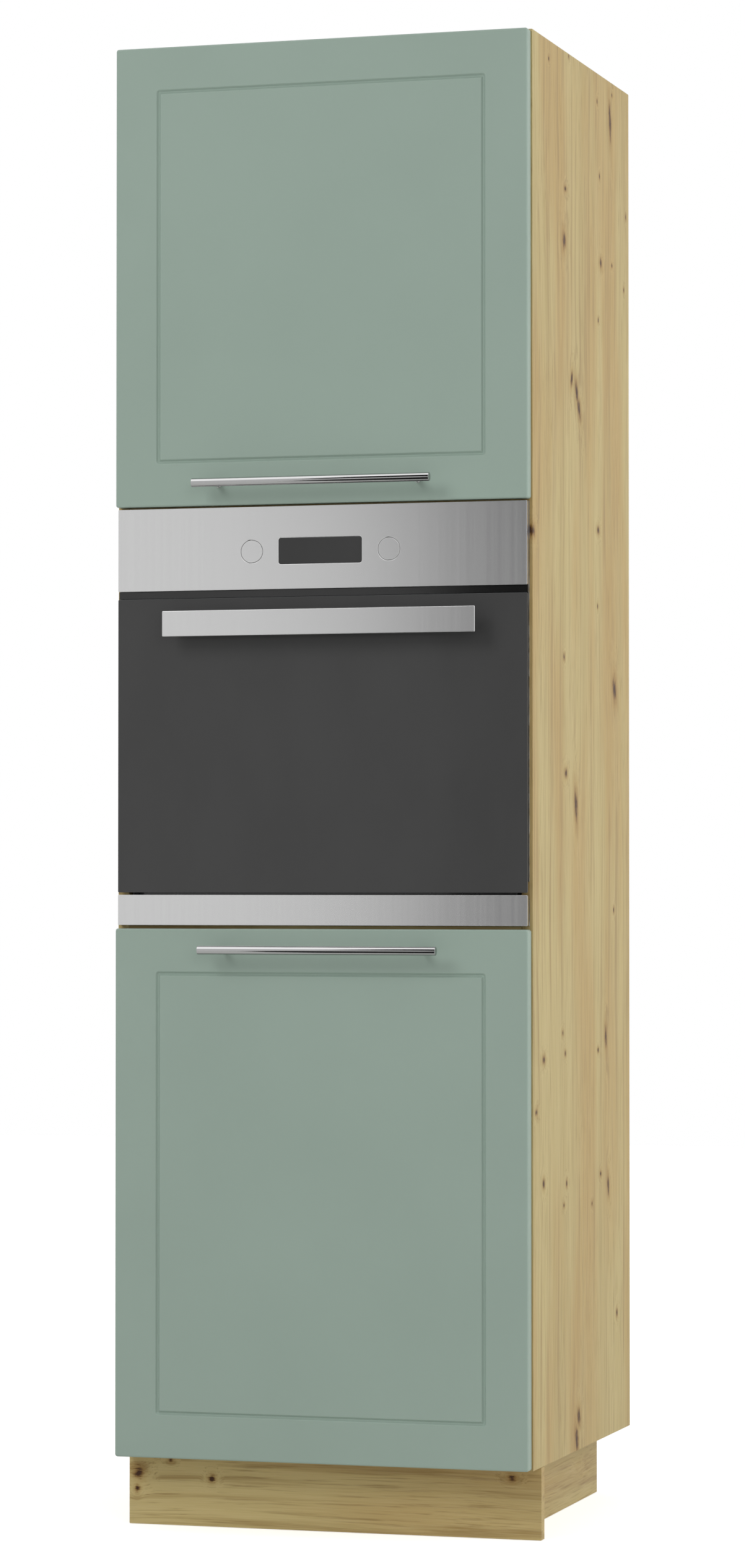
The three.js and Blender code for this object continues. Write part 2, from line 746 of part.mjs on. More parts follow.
// ---------------------------------------------------------------- oven body
function addCasing() {
  const flange = slab(across(halfFront), [flangeFront, flangeBack], [ovenBottom, ovenTop]);
  const shell = slab(across(halfCasing), [flangeFront, casingBack], [ovenBottom, casingTop]);
  const inside = slab(
    across(halfCasing - casingSheet), [flangeBack, casingBack - casingSheet],
    [ovenBottom + casingSheet, casingTop - casingSheet]);
  const throat = slab(
    across(earOuter + throatClearance), [flangeFront - overcut, flangeBack + overcut],
    [trimTop - swingClearBelow, panTop + throatClearance]);
  const swingRoom = slab(
    across(halfFront + overcut), [flangeFront - overcut, flangeBack + seat],
    [trimTop - swingClearBelow * 2, glassBottom + swingClearAbove]);
  const ventRoom = slab(
    across(earOuter), [flangeFront - overcut, flangeBack + overcut],
    around((ventBottom + panelBottom) / 2, ventSlotHeight));
  const controlRoom = slab(
    across(earOuter), [flangeFront - overcut, flangeBack + overcut],
    around(controlsZ, moduleHeight - throatClearance * 2));
  const rearSlots = [];
  for (let i = 0; i < rearSlotCount; i += 1) {
    const z = casingTop - rearSlotDrop - i * rearSlotPitch;
    rearSlots.push(slab(
      around(-rearSlotsFromCentre, rearSlotWidth),
      [casingBack - casingSheet - overcut, casingBack + overcut], around(z, rearSlotHeight)));
  }
  place('oven_casing', cut(
    join(flange, shell), inside, throat, swingRoom, ventRoom, controlRoom, ...rearSlots), galvanised);
}

function addCavity() {
  const inset = casingSheet + seat;
  const face = slab(
    across(halfCasing - inset), [cavityFace, cavityFace + casingSheet],
    [ovenBottom + inset, ovenTop - cavityFaceDrop]);
  const box = slab(
    across(halfCavity + casingSheet), [cavityFace, cavityBack + casingSheet],
    [cavityBottom - casingSheet, cavityTop + casingSheet]);
  const hollow = slab(across(halfCavity), [cavityFace - overcut, cavityBack], [cavityBottom, cavityTop]);
  const shaftHole = barAlongY(
    fanShaftRadius + fanShaftClearance, [cavityBack - overcut, cavityBack + casingSheet + overcut], 0, fanZ,
    roundSides);
  const lampHole = barAlongY(
    lampStemRadius + lampHoleClearance, [cavityBack - overcut, cavityBack + casingSheet + overcut],
    -halfCavity + lampFromSide, cavityTop - lampDrop, roundSides);
  place('oven_cavity', cut(join(face, box), hollow, shaftHole, lampHole), enamel);
}

function addSeal() {
  const ring = (grow) => [
    across(halfCavity + sealLap + grow), [cavityBottom - sealLap - grow, cavityTop + sealLap + grow]];
  const [outerX, outerZ] = ring(sealWidth);
  const [innerX, innerZ] = ring(0);
  const depth = [panBack + seat, cavityFace - seat];
  const inner = slab(innerX, [depth[0] - overcut, depth[1] + overcut], innerZ);
  place('oven_door_seal', cut(slab(outerX, depth, outerZ), inner), fibreSeal);
}

const rackY = [cavityFace + rackFront, cavityBack - rackBackSpace];
const rackZ = [cavityBottom + rackRiseFromFloor, cavityTop - rackRoofSpace];
const rackPostX = halfCavity - rackFromWall;
const rackRunnerX = rackPostX - rackRunnerStep;
const runnerLevel = (i) => rackZ[0] + (i + 1 / 2) * (rackZ[1] - rackZ[0]) / rackRunnerCount;

function addSideRacks() {
  for (const { side, sign } of bothSides) {
    const wires = rackY.map((y) => barAlongZ(rackWire / 2, rackZ, sign * rackPostX, y, wireSides));
    for (let i = 0; i < rackRunnerCount; i += 1) {
      const ends = [rackY[0] - rackWire, rackY[1] + rackWire];
      wires.push(barAlongY(rackWire / 2, ends, sign * rackRunnerX, runnerLevel(i), wireSides));
    }
    for (const y of rackY) {
      for (const z of [rackZ[0] + rackPegInset, rackZ[1] - rackPegInset]) {
        const ends = toSide(sign, [rackPostX, halfCavity - seat]);
        wires.push(barAlongX(rackWire / 2, ends, y, z, wireSides));
      }
    }
    place(`side_rack_${side}`, join(...wires), wireSteel);
  }
}

function addWireShelf() {
  const halfWidth = rackRunnerX - wireShelfRodStep;
  // The shelf's outer rod rests on the slanted facet of the runner's wire.
  const slope = Math.PI / wireSides;
  const apothem = rackWire / 2 * Math.cos(slope);
  const rise = (apothem * 2 + seat - wireShelfRodStep * Math.sin(slope)) / Math.cos(slope);
  const z = runnerLevel(wireShelfLevel) + rise;
  const ends = [cavityFace + wireShelfFromFront, cavityBack - wireShelfBackSpace];
  const rods = [];
  for (let i = 0; i < wireShelfRods; i += 1) {
    const x = -halfWidth + i * (halfWidth * 2) / (wireShelfRods - 1);
    rods.push(barAlongY(rackWire / 2, ends, x, z, wireSides));
  }
  for (const y of [ends[0] + rackWire, ends[1] - rackWire]) {
    rods.push(barAlongX(rackWire / 2, across(halfWidth), y, z, wireSides));
  }
  place('wire_shelf', join(...rods), wireSteel);
}

function addFan() {
  const back = cavityBack - fanWallGap;
  const hub = barAlongY(fanHubRadius, [back - fanDepth, back], 0, 0, roundSides);
  const shaft = barAlongY(
    fanShaftRadius, [back - fanDepth, back + fanShaftLength], 0, 0, smallSides);
  const blades = [];
  for (let i = 0; i < fanBladeCount; i += 1) {
    const blade = slab(
      [fanHubRadius - fanBladeLap, fanRadius], [back - fanDepth, back], across(fanBladeThickness / 2));
    blades.push(blade.rotateY(i * 2 * Math.PI / fanBladeCount));
  }
  place('fan', join(hub, shaft, ...blades).translate(0, 0, fanZ), galvanised);
}

function addFanCover() {
  const front = cavityBack - seat - fanCoverDepth;
  const shell = slab(
    across(fanCoverWidth / 2), [front, cavityBack - seat], around(fanZ, fanCoverHeight));
  const hollow = slab(
    across(fanCoverWidth / 2 - fanCoverSheet), [front + fanCoverSheet, cavityBack],
    around(fanZ, fanCoverHeight - fanCoverSheet * 2));
  const through = [front - overcut, front + fanCoverSheet + overcut];
  const slots = [];
  for (let i = 0; i < fanSlotCount; i += 1) {
    const slot = slab(around(fanSlotRadius, fanSlotLength), through, across(fanSlotWidth / 2));
    slots.push(slot.rotateY(i * 2 * Math.PI / fanSlotCount).translate(0, 0, fanZ));
  }
  const eye = barAlongY(fanEyeRadius, through, 0, fanZ, roundSides);
  place('fan_cover', cut(shell, hollow, eye, ...slots), enamel);
}

function addGrillElement() {
  const z = cavityTop - grillDrop;
  const back = cavityBack - grillFromBack;
  const front = cavityFace + grillFrontSpace;
  const radius = grillRodDiameter / 2;
  const pitch = (halfCavity - grillSideSpace) * 2 / (grillRuns - 1);
  const rods = [];
  for (let i = 0; i < grillRuns; i += 1) {
    const x = (i - (grillRuns - 1) / 2) * pitch;
    const isLead = i === 0 || i === grillRuns - 1;
    rods.push(barAlongY(radius, [front, isLead ? cavityBack - seat : back], x, z, smallSides));
    if (i < grillRuns - 1) {
      const y = i % 2 === 0 ? front + radius : back - radius;
      rods.push(barAlongX(radius, [x, x + pitch], y, z, smallSides));
    }
  }
  place('grill_element', join(...rods), wireSteel);
}

function addLamp() {
  const back = cavityBack - seat;
  const front = back - lampLength;
  place('oven_lamp', turned([
    [0, front], [lampRadius / 2, front + lampLength / 8], [lampRadius, front + lampLength / 2],
    [lampRadius, back], [lampStemRadius, back], [lampStemRadius, back + lampLength],
    [0, back + lampLength],
  ], -halfCavity + lampFromSide, cavityTop - lampDrop, roundSides), opalGlass);
}

// The cover over the mains terminals at the back, with the gland that the lead would enter.
function addTerminalCover() {
  const x = halfCasing - terminalFromSide;
  const floor = ovenTop - terminalDrop - terminalHeight / 2;
  const front = casingBack + seat;
  const cover = slab(
    around(x, terminalWidth), [front, front + terminalDepth],
    [floor, floor + terminalHeight]);
  const glandY = front + terminalDepth / 2;
  const gland = barAlongZ(
    glandRadius, [floor - glandLength, floor + overcut], x, glandY, roundSides);
  const bore = barAlongZ(
    glandBore, [floor - glandLength - overcut, floor + glandLength], x, glandY,
    smallSides);
  place('terminal_cover', cut(join(cover, gland), bore), blackPlastic);
}

// ---------------------------------------------------------------- assembly
addSidePanels();
addFixedBoards();
addBackPanels();
addAdjustableShelves();
addPlinth();
addCabinetDoors();
addControlPanel();
addKnobs();
addControlModule();
addVentStrip();
addBottomTrim();
addOvenDoor();
addOvenHandle();
addOvenHinges();
addCasing();
addCavity();
addSeal();
addSideRacks();
addWireShelf();
addFan();
addFanCover();
addGrillElement();
addLamp();
addTerminalCover();

// The origin is on the floor, halfway between the handles' front and the back of the carcass.
unit.position.y = (handleReach - carcassBack) / 2;

const group = new THREE.Group();
group.add(unit);

export default group;
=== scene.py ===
"""Tall oven housing unit: its detailed pieces, finishes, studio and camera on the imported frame."""
import math

import bmesh
import bpy
from bpy.props import FloatProperty, FloatVectorProperty, PointerProperty
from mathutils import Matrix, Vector


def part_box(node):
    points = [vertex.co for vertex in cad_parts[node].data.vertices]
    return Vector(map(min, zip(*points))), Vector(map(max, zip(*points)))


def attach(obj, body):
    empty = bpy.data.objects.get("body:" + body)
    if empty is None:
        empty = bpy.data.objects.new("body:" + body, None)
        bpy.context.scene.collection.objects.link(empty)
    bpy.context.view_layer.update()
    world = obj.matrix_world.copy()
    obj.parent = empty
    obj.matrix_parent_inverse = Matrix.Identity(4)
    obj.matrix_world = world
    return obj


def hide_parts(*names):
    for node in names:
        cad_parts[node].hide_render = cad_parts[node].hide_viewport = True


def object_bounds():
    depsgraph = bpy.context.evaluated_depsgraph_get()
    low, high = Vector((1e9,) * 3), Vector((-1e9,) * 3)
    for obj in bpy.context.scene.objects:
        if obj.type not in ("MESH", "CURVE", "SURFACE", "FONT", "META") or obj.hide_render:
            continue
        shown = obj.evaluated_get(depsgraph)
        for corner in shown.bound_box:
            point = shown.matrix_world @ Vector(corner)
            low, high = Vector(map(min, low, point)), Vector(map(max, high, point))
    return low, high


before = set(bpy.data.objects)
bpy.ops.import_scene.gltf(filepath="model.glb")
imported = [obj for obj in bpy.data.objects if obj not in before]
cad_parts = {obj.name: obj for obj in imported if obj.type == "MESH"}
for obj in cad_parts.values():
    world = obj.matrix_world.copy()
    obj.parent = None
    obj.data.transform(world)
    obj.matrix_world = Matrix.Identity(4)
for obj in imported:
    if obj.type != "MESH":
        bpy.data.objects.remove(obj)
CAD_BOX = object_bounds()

bl_info = {
    "name": "Tall Oven Housing Unit",
    "version": (1, 0, 0),
    "blender": (4, 5, 0),
    "location": "View3D > Sidebar > Oven Unit",
    "description": "Builds a tall kitchen unit with a built-in oven, its finishes and its studio",
    "category": "Add Mesh",
}

MM = 0.001
X, Y, Z = range(3)
AXES = (Vector((1, 0, 0)), Vector((0, 1, 0)), Vector((0, 0, 1)))


# ------------------------------------------------------------------ colours and user values
def linear(code):
    """An sRGB hex colour as linear red, green and blue."""
    parts = [int(code[i:i + 2], 16) / 255 for i in (1, 3, 5)]
    return tuple(v / 12.92 if v <= 0.04045 else ((v + 0.055) / 1.055) ** 2.4 for v in parts)


def rgba(value):
    """An sRGB hex colour, or linear red, green and blue, with full alpha."""
    return (*(linear(value) if isinstance(value, str) else tuple(value)[:3]), 1)


def size(default, name, description):
    """A length that the user may change; the default is in millimetres."""
    return FloatProperty(
        name=name, description=description, default=default * MM, min=0, unit="LENGTH", precision=5)


def colour(code, name, description):
    """A colour that the user may change; the default is an sRGB hex colour."""
    return FloatVectorProperty(
        name=name, description=description, default=linear(code), subtype="COLOR",
        min=0, max=1, size=3)


class BoardSettings(bpy.types.PropertyGroup):
    """Colours and edges of the oak boards."""
    light: colour("#bfae7b", "Light oak", "Pale wood between the streaks")
    streak: colour("#997e4a", "Oak streak", "Darker streaks along the grain")
    warm: colour("#b18f58", "Warm zone", "Soft reddish zones of the wood")
    knot: colour("#391d06", "Knot", "Dark heart of a knot")
    edge: size(0.8, "Edge radius", "Rounding of the banded board edges")


class DoorSettings(bpy.types.PropertyGroup):
    """Fronts of the cabinet doors with their groove and bar handles."""
    lacquer: colour("#98aa9f", "Lacquer", "Matt green lacquer of both fronts")
    edge: size(2.6, "Edge radius", "Rounding of the front edges of a door")
    corner: size(3.5, "Corner radius", "Rounding of the four corners of a door")
    groove_inset: size(59, "Groove inset", "Door edge to the outer wall of the groove")
    groove_width: size(7.6, "Groove width", "Width of the groove's round cut")
    groove_corner: size(5, "Groove corner", "Corner radius of the groove's outer wall")
    groove_depth: size(3.1, "Groove depth", "Depth of the milled groove")
    bar: size(12, "Handle diameter", "Diameter of a round bar handle")
    leg: size(8, "Handle leg diameter", "Diameter of a handle's legs")
    chrome: colour("#a8a8a8", "Chrome", "Polished plating of the bar handles")


class OvenSettings(bpy.types.PropertyGroup):
    """Colours and edges of the oven's front."""
    steel: colour("#cbcbcb", "Brushed steel", "Panel, knobs, handle and bottom trim")
    glass: colour("#444444", "Door glass", "Dark printed glass of the oven door")
    display: colour("#3c3c3c", "Display glass", "Dark window of the clock")
    black: colour("#171717", "Black plastic", "Polished vent strip above the oven door")
    edge: size(0.4, "Front edge radius", "Rounding of the steel and glass edges")
    knob_edge: size(0.8, "Knob edge radius", "Rounding of the knobs and of their openings")


class StudioSettings(bpy.types.PropertyGroup):
    """Floor and light round the unit."""
    floor: colour("#f4f4f2", "Floor", "Plain pale floor under the unit")
    key_power: FloatProperty(
        name="Side light", description="Power of the large soft light on the right",
        default=94, min=0, unit="POWER")
    fill_power: FloatProperty(
        name="Front light", description="Power of the soft light from the upper left front",
        default=119, min=0, unit="POWER")
    camera_power: FloatProperty(
        name="Camera light", description="Power of the weak soft light beside the camera",
        default=60, min=0, unit="POWER")
    sky: FloatProperty(
        name="Sky level", description="Even light from all round", default=0.35, min=0)


class UnitSettings(bpy.types.PropertyGroup):
    """All that the user may change, in four groups."""
    boards: PointerProperty(type=BoardSettings, name="Boards", description="Oak boards")
    doors: PointerProperty(type=DoorSettings, name="Doors", description="Fronts and handles")
    oven: PointerProperty(type=OvenSettings, name="Oven", description="Built-in oven")
    studio: PointerProperty(type=StudioSettings, name="Studio", description="Floor and light")


def user():
    """The sizes and colours of this scene."""
    return bpy.context.scene.oven_unit


# ------------------------------------------------------------------ shapes
def ring(centre, axis, radius, count):
    """Points of a circle about an axis (X, Y or Z) through its centre."""
    across, up = AXES[(axis + 1) % 3], AXES[(axis + 2) % 3]
    turns = (2 * math.pi * k / count for k in range(count))
    return [Vector(centre) + radius * (math.cos(t) * across + math.sin(t) * up) for t in turns]


def rounded_rectangle(lo, hi, y, radius, steps=4):
    """Points of a rectangle with round corners in the plane at y; lo and hi are (x, z)."""
    points = []
    corners = ((hi[0], hi[1], 0), (lo[0], hi[1], 1), (lo[0], lo[1], 2), (hi[0], lo[1], 3))
    for x, z, quarter in corners:
        cx = x - radius if x == hi[0] else x + radius
        cz = z - radius if z == hi[1] else z + radius
        for k in range(steps + 1):
            turn = math.pi / 2 * (quarter + k / steps)
            points.append(Vector((cx + radius * math.cos(turn), y, cz + radius * math.sin(turn))))
    return points


def skin(bm, outlines, closed=False):
    """Joins outlines of equal length with quads, and caps the ends or joins last to first."""
    rows = [[bm.verts.new(p) for p in outline] for outline in outlines]
    following = rows[1:] + ([rows[0]] if closed else [])
    for low, high in zip(rows, following):
        for i in range(len(low)):
            j = (i + 1) % len(low)
            bm.faces.new((low[i], low[j], high[j], high[i]))
    if not closed:
        bm.faces.new(rows[0][::-1])
        bm.faces.new(rows[-1])


def turned(bm, centre, axis, profile, count):
    """A lathe shape: profile holds (place along the axis, radius) pairs, and the centre's own
    coordinate on the axis is 0."""
    middle = Vector(centre)
    skin(bm, [ring(middle + AXES[axis] * at, axis, radius, count) for at, radius in profile])


def eased(lo, hi, radius, steps=3):
    """Lathe places and insets that round off both ends between lo and hi."""
    quarter = [math.pi / 2 * k / steps for k in range(steps + 1)]
    front = [(lo + radius * (1 - math.cos(t)), radius * (1 - math.sin(t))) for t in quarter]
    back = [(hi - radius * (1 - math.cos(t)), radius * (1 - math.sin(t))) for t in quarter]
    return front + back[::-1]


def pin(bm, centre, axis, lo, hi, radius, edge, count):
    """A round bar along an axis from lo to hi, with rounded ends."""
    foot = Vector(centre)
    foot[axis] = 0
    turned(bm, foot, axis, [(at, radius - inset) for at, inset in eased(lo, hi, edge)], count)


def plate(bm, lo, hi, edge, corner, steps):
    """A plate in the front's plane with round corners and rounded front and back edges."""
    corner = max(corner, edge * 1.01)
    outlines = []
    for y, inset in eased(lo[1], hi[1], edge, steps):
        low, high = (lo[0] + inset, lo[2] + inset), (hi[0] - inset, hi[2] - inset)
        outlines.append(rounded_rectangle(low, high, y, corner - inset))
    skin(bm, outlines)


def block(bm, lo, hi, edge, steps=2):
    """A block between two corners, with all its edges rounded."""
    bmesh.ops.create_cube(bm, size=1)
    for v in bm.verts:
        v.co = Vector([hi[i] if v.co[i] > 0 else lo[i] for i in range(3)])
    bmesh.ops.bevel(
        bm, geom=bm.edges[:], offset=edge, segments=steps, profile=0.5, affect="EDGES")


def wire(bm, path, radius, count=16):
    """A round wire that lies flat and follows a path of points."""
    outlines = []
    for i, point in enumerate(path):
        before, after = path[max(i - 1, 0)], path[min(i + 1, len(path) - 1)]
        side = (after - before).cross(AXES[Z]).normalized()
        turns = (2 * math.pi * k / count for k in range(count))
        outlines.append([
            point + radius * (math.cos(t) * side + math.sin(t) * AXES[Z]) for t in turns])
    skin(bm, outlines)


def caps(bm, seats, axis, out, radius, height):
    """Low round caps on their seats; out is 1 or -1, the way they face along the axis."""
    rows = ((0, 1), (0.55, 1), (0.9, 0.85), (1, 0.55))  # shares of the height and of the radius
    for seat in seats:
        foot = Vector(seat)
        at, foot[axis] = foot[axis], 0
        turned(bm, foot, axis, [
            (at + out * lift * height, share * radius) for lift, share in rows], 20)


def screws(bm, seats, axis, out, radius, height):
    """Pan heads with a cross recess on their seats; out is 1 or -1, as for the caps."""
    cross = [0.5 if k % 6 in (0, 1, 5) else 0.2 for k in range(24)]
    even = [1] * 24
    # shares of the height and of the radius, the latter times a share for each point
    rows = ((0, 1, even), (0.5, 1, even), (0.85, 0.88, even), (1, 0.62, even), (1, 1, cross),
            (0.3, 1, cross))
    for seat in seats:
        outlines = []
        for lift, share, points in rows:
            middle = Vector(seat) + AXES[axis] * out * lift * height
            rim = ring(middle, axis, share * radius, 24)
            outlines.append([middle.lerp(p, s) for p, s in zip(rim, points)])
        skin(bm, outlines)


def hexagon(bm, centre, axis, lo, hi, flat, bore):
    """A six-sided nut along an axis from lo to hi; flat is half its width over the flats."""
    foot = Vector(centre)
    foot[axis] = 0
    low, high = foot + AXES[axis] * lo, foot + AXES[axis] * hi
    swell = [1 / math.cos(math.radians((15 * k) % 60 - 30)) for k in range(24)]
    outer = [[m.lerp(p, s) for p, s in zip(ring(m, axis, flat, 24), swell)] for m in (low, high)]
    skin(bm, [*outer, ring(high, axis, bore, 24), ring(low, axis, bore, 24)], closed=True)


# ------------------------------------------------------------------ pieces
SHARP_ANGLE = math.radians(35)


def shape(name, draw, *args):
    """A mesh object in the scene, drawn by one of the shape functions."""
    bm = bmesh.new()
    draw(bm, *args)
    bmesh.ops.recalc_face_normals(bm, faces=bm.faces)
    mesh = bpy.data.meshes.new(name)
    bm.to_mesh(mesh)
    bm.free()
    obj = bpy.data.objects.new(name, mesh)
    bpy.context.scene.collection.objects.link(obj)
    return obj


def combine(obj, operation, *others):
    """Joins other meshes to obj, or cuts them out of it, and takes them away."""
    for other in others:
        modifier = obj.modifiers.new("Solid", "BOOLEAN")
        modifier.operation, modifier.solver, modifier.object = operation, "EXACT", other
    bpy.context.view_layer.update()
    solved = obj.evaluated_get(bpy.context.evaluated_depsgraph_get())
    result = bpy.data.meshes.new_from_object(solved)
    obj.modifiers.clear()
    old, obj.data = obj.data, result
    bpy.data.meshes.remove(old)
    for other in others:
        bpy.data.objects.remove(other)


def finish(obj, material, body, slot, *nodes):
    """Gives a piece its material and a smooth shading that keeps edges sharp and faces flat, and
    fixes it to a body in place of its CAD nodes."""
    obj.data.materials.clear()
    obj.data.materials.append(material)
    obj.data.shade_smooth()
    obj.data.set_sharp_from_angle(angle=SHARP_ANGLE)
    obj.modifiers.new("Flat faces", "WEIGHTED_NORMAL").keep_sharp = True
    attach(obj, body)
    if nodes:
        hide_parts(*nodes)


# Radius and height of the small pieces, in millimetres.
SMALL = {
    "nail": (2.3, 0.28), "connector_cap": (8.5, 0.9), "door_buffer": (4, 0.5),
    "bracket_screw": (3.4, 1.3), "handle_screw": (4.2, 2), "cup_screw": (3.4, 1.1),
    "plate_screw": (3.6, 1), "arm_screw": (3, 0.7), "oven_door_screw": (3.6, 1.4),
    "casing_screw": (4, 1.6), "terminal_screw": (3.2, 1.2), "fan_cover_screw": (3.6, 1.2)}


def small(name, kind, seats, axis, out, body="carcass", slot="zinc_plate", way=""):
    """Small like pieces on their seats, as one piece that rides on a body."""
    draw = screws if kind.endswith("screw") else caps
    piece = shape(name, draw, seats, axis, out, *(v * MM for v in SMALL[kind]))
    finish(piece, finish_of(slot, way), body, slot)


def dress(node, material, edge=0.0):
    """Gives a CAD node its material, and rounds its edges by a bevel."""
    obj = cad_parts[node]
    obj.data.materials.clear()
    obj.data.materials.append(material)
    obj.modifiers.new("One skin", "WELD").merge_threshold = 0.01 * MM
    if edge:
        bevel = obj.modifiers.new("Rounded edges", "BEVEL")
        bevel.width, bevel.segments, bevel.limit_method = edge, 2, "ANGLE"
        bevel.angle_limit = SHARP_ANGLE
    obj.modifiers.new("Flat faces", "WEIGHTED_NORMAL").keep_sharp = True


# ------------------------------------------------------------------ finishes
def add(tree, kind, inputs=(), out=0, stops=(), **settings):
    """Adds a node with its settings, its linked or typed-in inputs and the stops of its ramp, and
    returns one of its outputs. Sockets go by name or number; those of MapRange are 0 for the value,
    1 and 2 for what it comes from, 3 and 4 for what it becomes. Colours are hex codes or linear."""
    node = tree.nodes.new("ShaderNode" + kind)
    for name, value in settings.items():
        setattr(node, name, value)
    for key, value in dict(inputs).items():
        socket = node.inputs[key]
        if isinstance(value, bpy.types.NodeSocket):
            tree.links.new(value, socket)
        else:
            socket.default_value = rgba(value) if socket.type == "RGBA" else value
    for k, (at, code) in enumerate(stops):
        elements = node.color_ramp.elements
        stop = elements[k] if k < 2 else elements.new(at)
        stop.position, stop.color = at, rgba(code)
    return node.outputs[out]


def new_finish(name, base, roughness, metallic=0.0, ior=1.5, **sockets):
    """A material whose shader holds the plain values; returns it with its nodes, its shader and
    the place in the unit in metres."""
    material = bpy.data.materials.new(name)
    material.use_nodes = True
    tree = material.node_tree
    shader = tree.nodes["Principled BSDF"]
    values = {"Base Color": rgba(base), "Roughness": roughness, "Metallic": metallic, "IOR": ior}
    values.update({key.replace("_", " "): value for key, value in sockets.items()})
    for key, value in values.items():
        shader.inputs[key].default_value = value
    material.diffuse_color = rgba(base)
    return material, tree, shader, add(tree, "TexCoord", out="Object")


def per(*sizes):
    """How many of a pattern's spots fit in a metre; sizes are their real sizes in millimetres."""
    scale = tuple(1 / (s * MM) for s in sizes)
    return scale if len(scale) > 1 else scale[0]


def vary(tree, shader, **patterns):
    """Links patterns to the shader's sockets."""
    for socket, pattern in patterns.items():
        tree.links.new(pattern, shader.inputs[socket.replace("_", " ")])


def shade(base, share):
    """A colour made darker or lighter by a share."""
    return tuple(min(1, share * c) for c in (linear(base) if isinstance(base, str) else base))


SMOOTH = {"interpolation_type": "SMOOTHSTEP"}
COLOUR = {"out": 2, "data_type": "RGBA"}

# Knots of the decor on the side panels: place behind the front edge and above the floor,
# width and height in millimetres, and the lean of a crack in degrees.
SIDE_KNOTS = (
    (443, 2010, 14, 62, 8), (174, 1802, 20, 26, 0), (386, 1797, 14, 14, 0),
    (181, 1876, 13, 9, 0), (216, 1612, 13, 26, -20), (244, 1597, 17, 36, 24),
    (258, 1574, 18, 38, 28), (3, 1383, 20, 17, 0), (370, 1409, 14, 12, 0),
    (466, 1182, 24, 38, 12), (182, 1054, 16, 14, 0), (238, 1011, 18, 50, 10),
    (172, 1217, 9, 10, 0), (58, 657, 16, 12, 0), (411, 679, 12, 34, 6),
    (177, 662, 9, 9, 0), (163, 691, 8, 9, 0), (366, 660, 10, 8, 0), (17, 587, 12, 10, 0),
    (57, 487, 12, 14, 0), (184, 480, 9, 10, 0), (169, 450, 9, 8, 0), (380, 482, 10, 9, 0),
    (425, 463, 12, 32, 6), (477, 273, 10, 13, 0), (252, 147, 20, 26, 14), (240, 116, 18, 42, 14),
    (89, 2044, 6, 7, 0), (200, 2066, 6, 7, 0), (365, 2029, 6, 8, 0), (454, 2052, 6, 7, 0),
    (379, 1922, 6, 9, 0), (538, 1885, 6, 8, 0), (453, 1802, 7, 7, 0), (526, 1775, 6, 9, 0),
    (371, 1713, 6, 8, 0), (365, 1299, 6, 8, 0), (460, 861, 7, 9, 0), (329, 442, 6, 7, 0))
# Knots on the front of the plinth: place from its middle and above the floor, width and height.
PLINTH_KNOTS = ((-286, 71, 16, 18), (-177, 67, 9, 10), (257, 84, 12, 9), (-238, 91, 8, 6),
                (-288, 50, 8, 10))


def nearest_knot(tree, place, knots):
    """Distance to the nearest knot: 1 at its rim. A knot is (centre, radii, lean)."""
    nearest = None
    for centre, radii, lean in knots:
        local = add(tree, "Mapping", {
            "Vector": place, "Location": centre, "Rotation": lean, "Scale": radii},
            vector_type="TEXTURE")
        far = add(tree, "VectorMath", {0: local}, "Value", operation="LENGTH")
        nearest = far if nearest is None else add(
            tree, "Math", {0: nearest, 1: far}, operation="MINIMUM")
    return nearest


def scattered_knots(tree, place, grain):
    """Distance to the nearest of some small knots that are strewn over a board: 1 at its rim."""
    cell = per(*(340 if i == grain else 125 for i in range(3)))
    near = add(tree, "TexVoronoi", {
        "Vector": add(tree, "Mapping", {"Vector": place, "Scale": cell}), "Scale": 1,
        "Randomness": 0.9}, "Distance")
    pick = add(tree, "SeparateColor", {"Color": near.node.outputs["Color"]})
    absent = add(tree, "Math", {0: pick, 1: 0.3}, operation="GREATER_THAN")
    far = add(tree, "Math", {0: near, 1: 0.045}, operation="DIVIDE")
    return add(tree, "Math", {0: absent, 1: 99, 2: far}, operation="MULTIPLY_ADD")


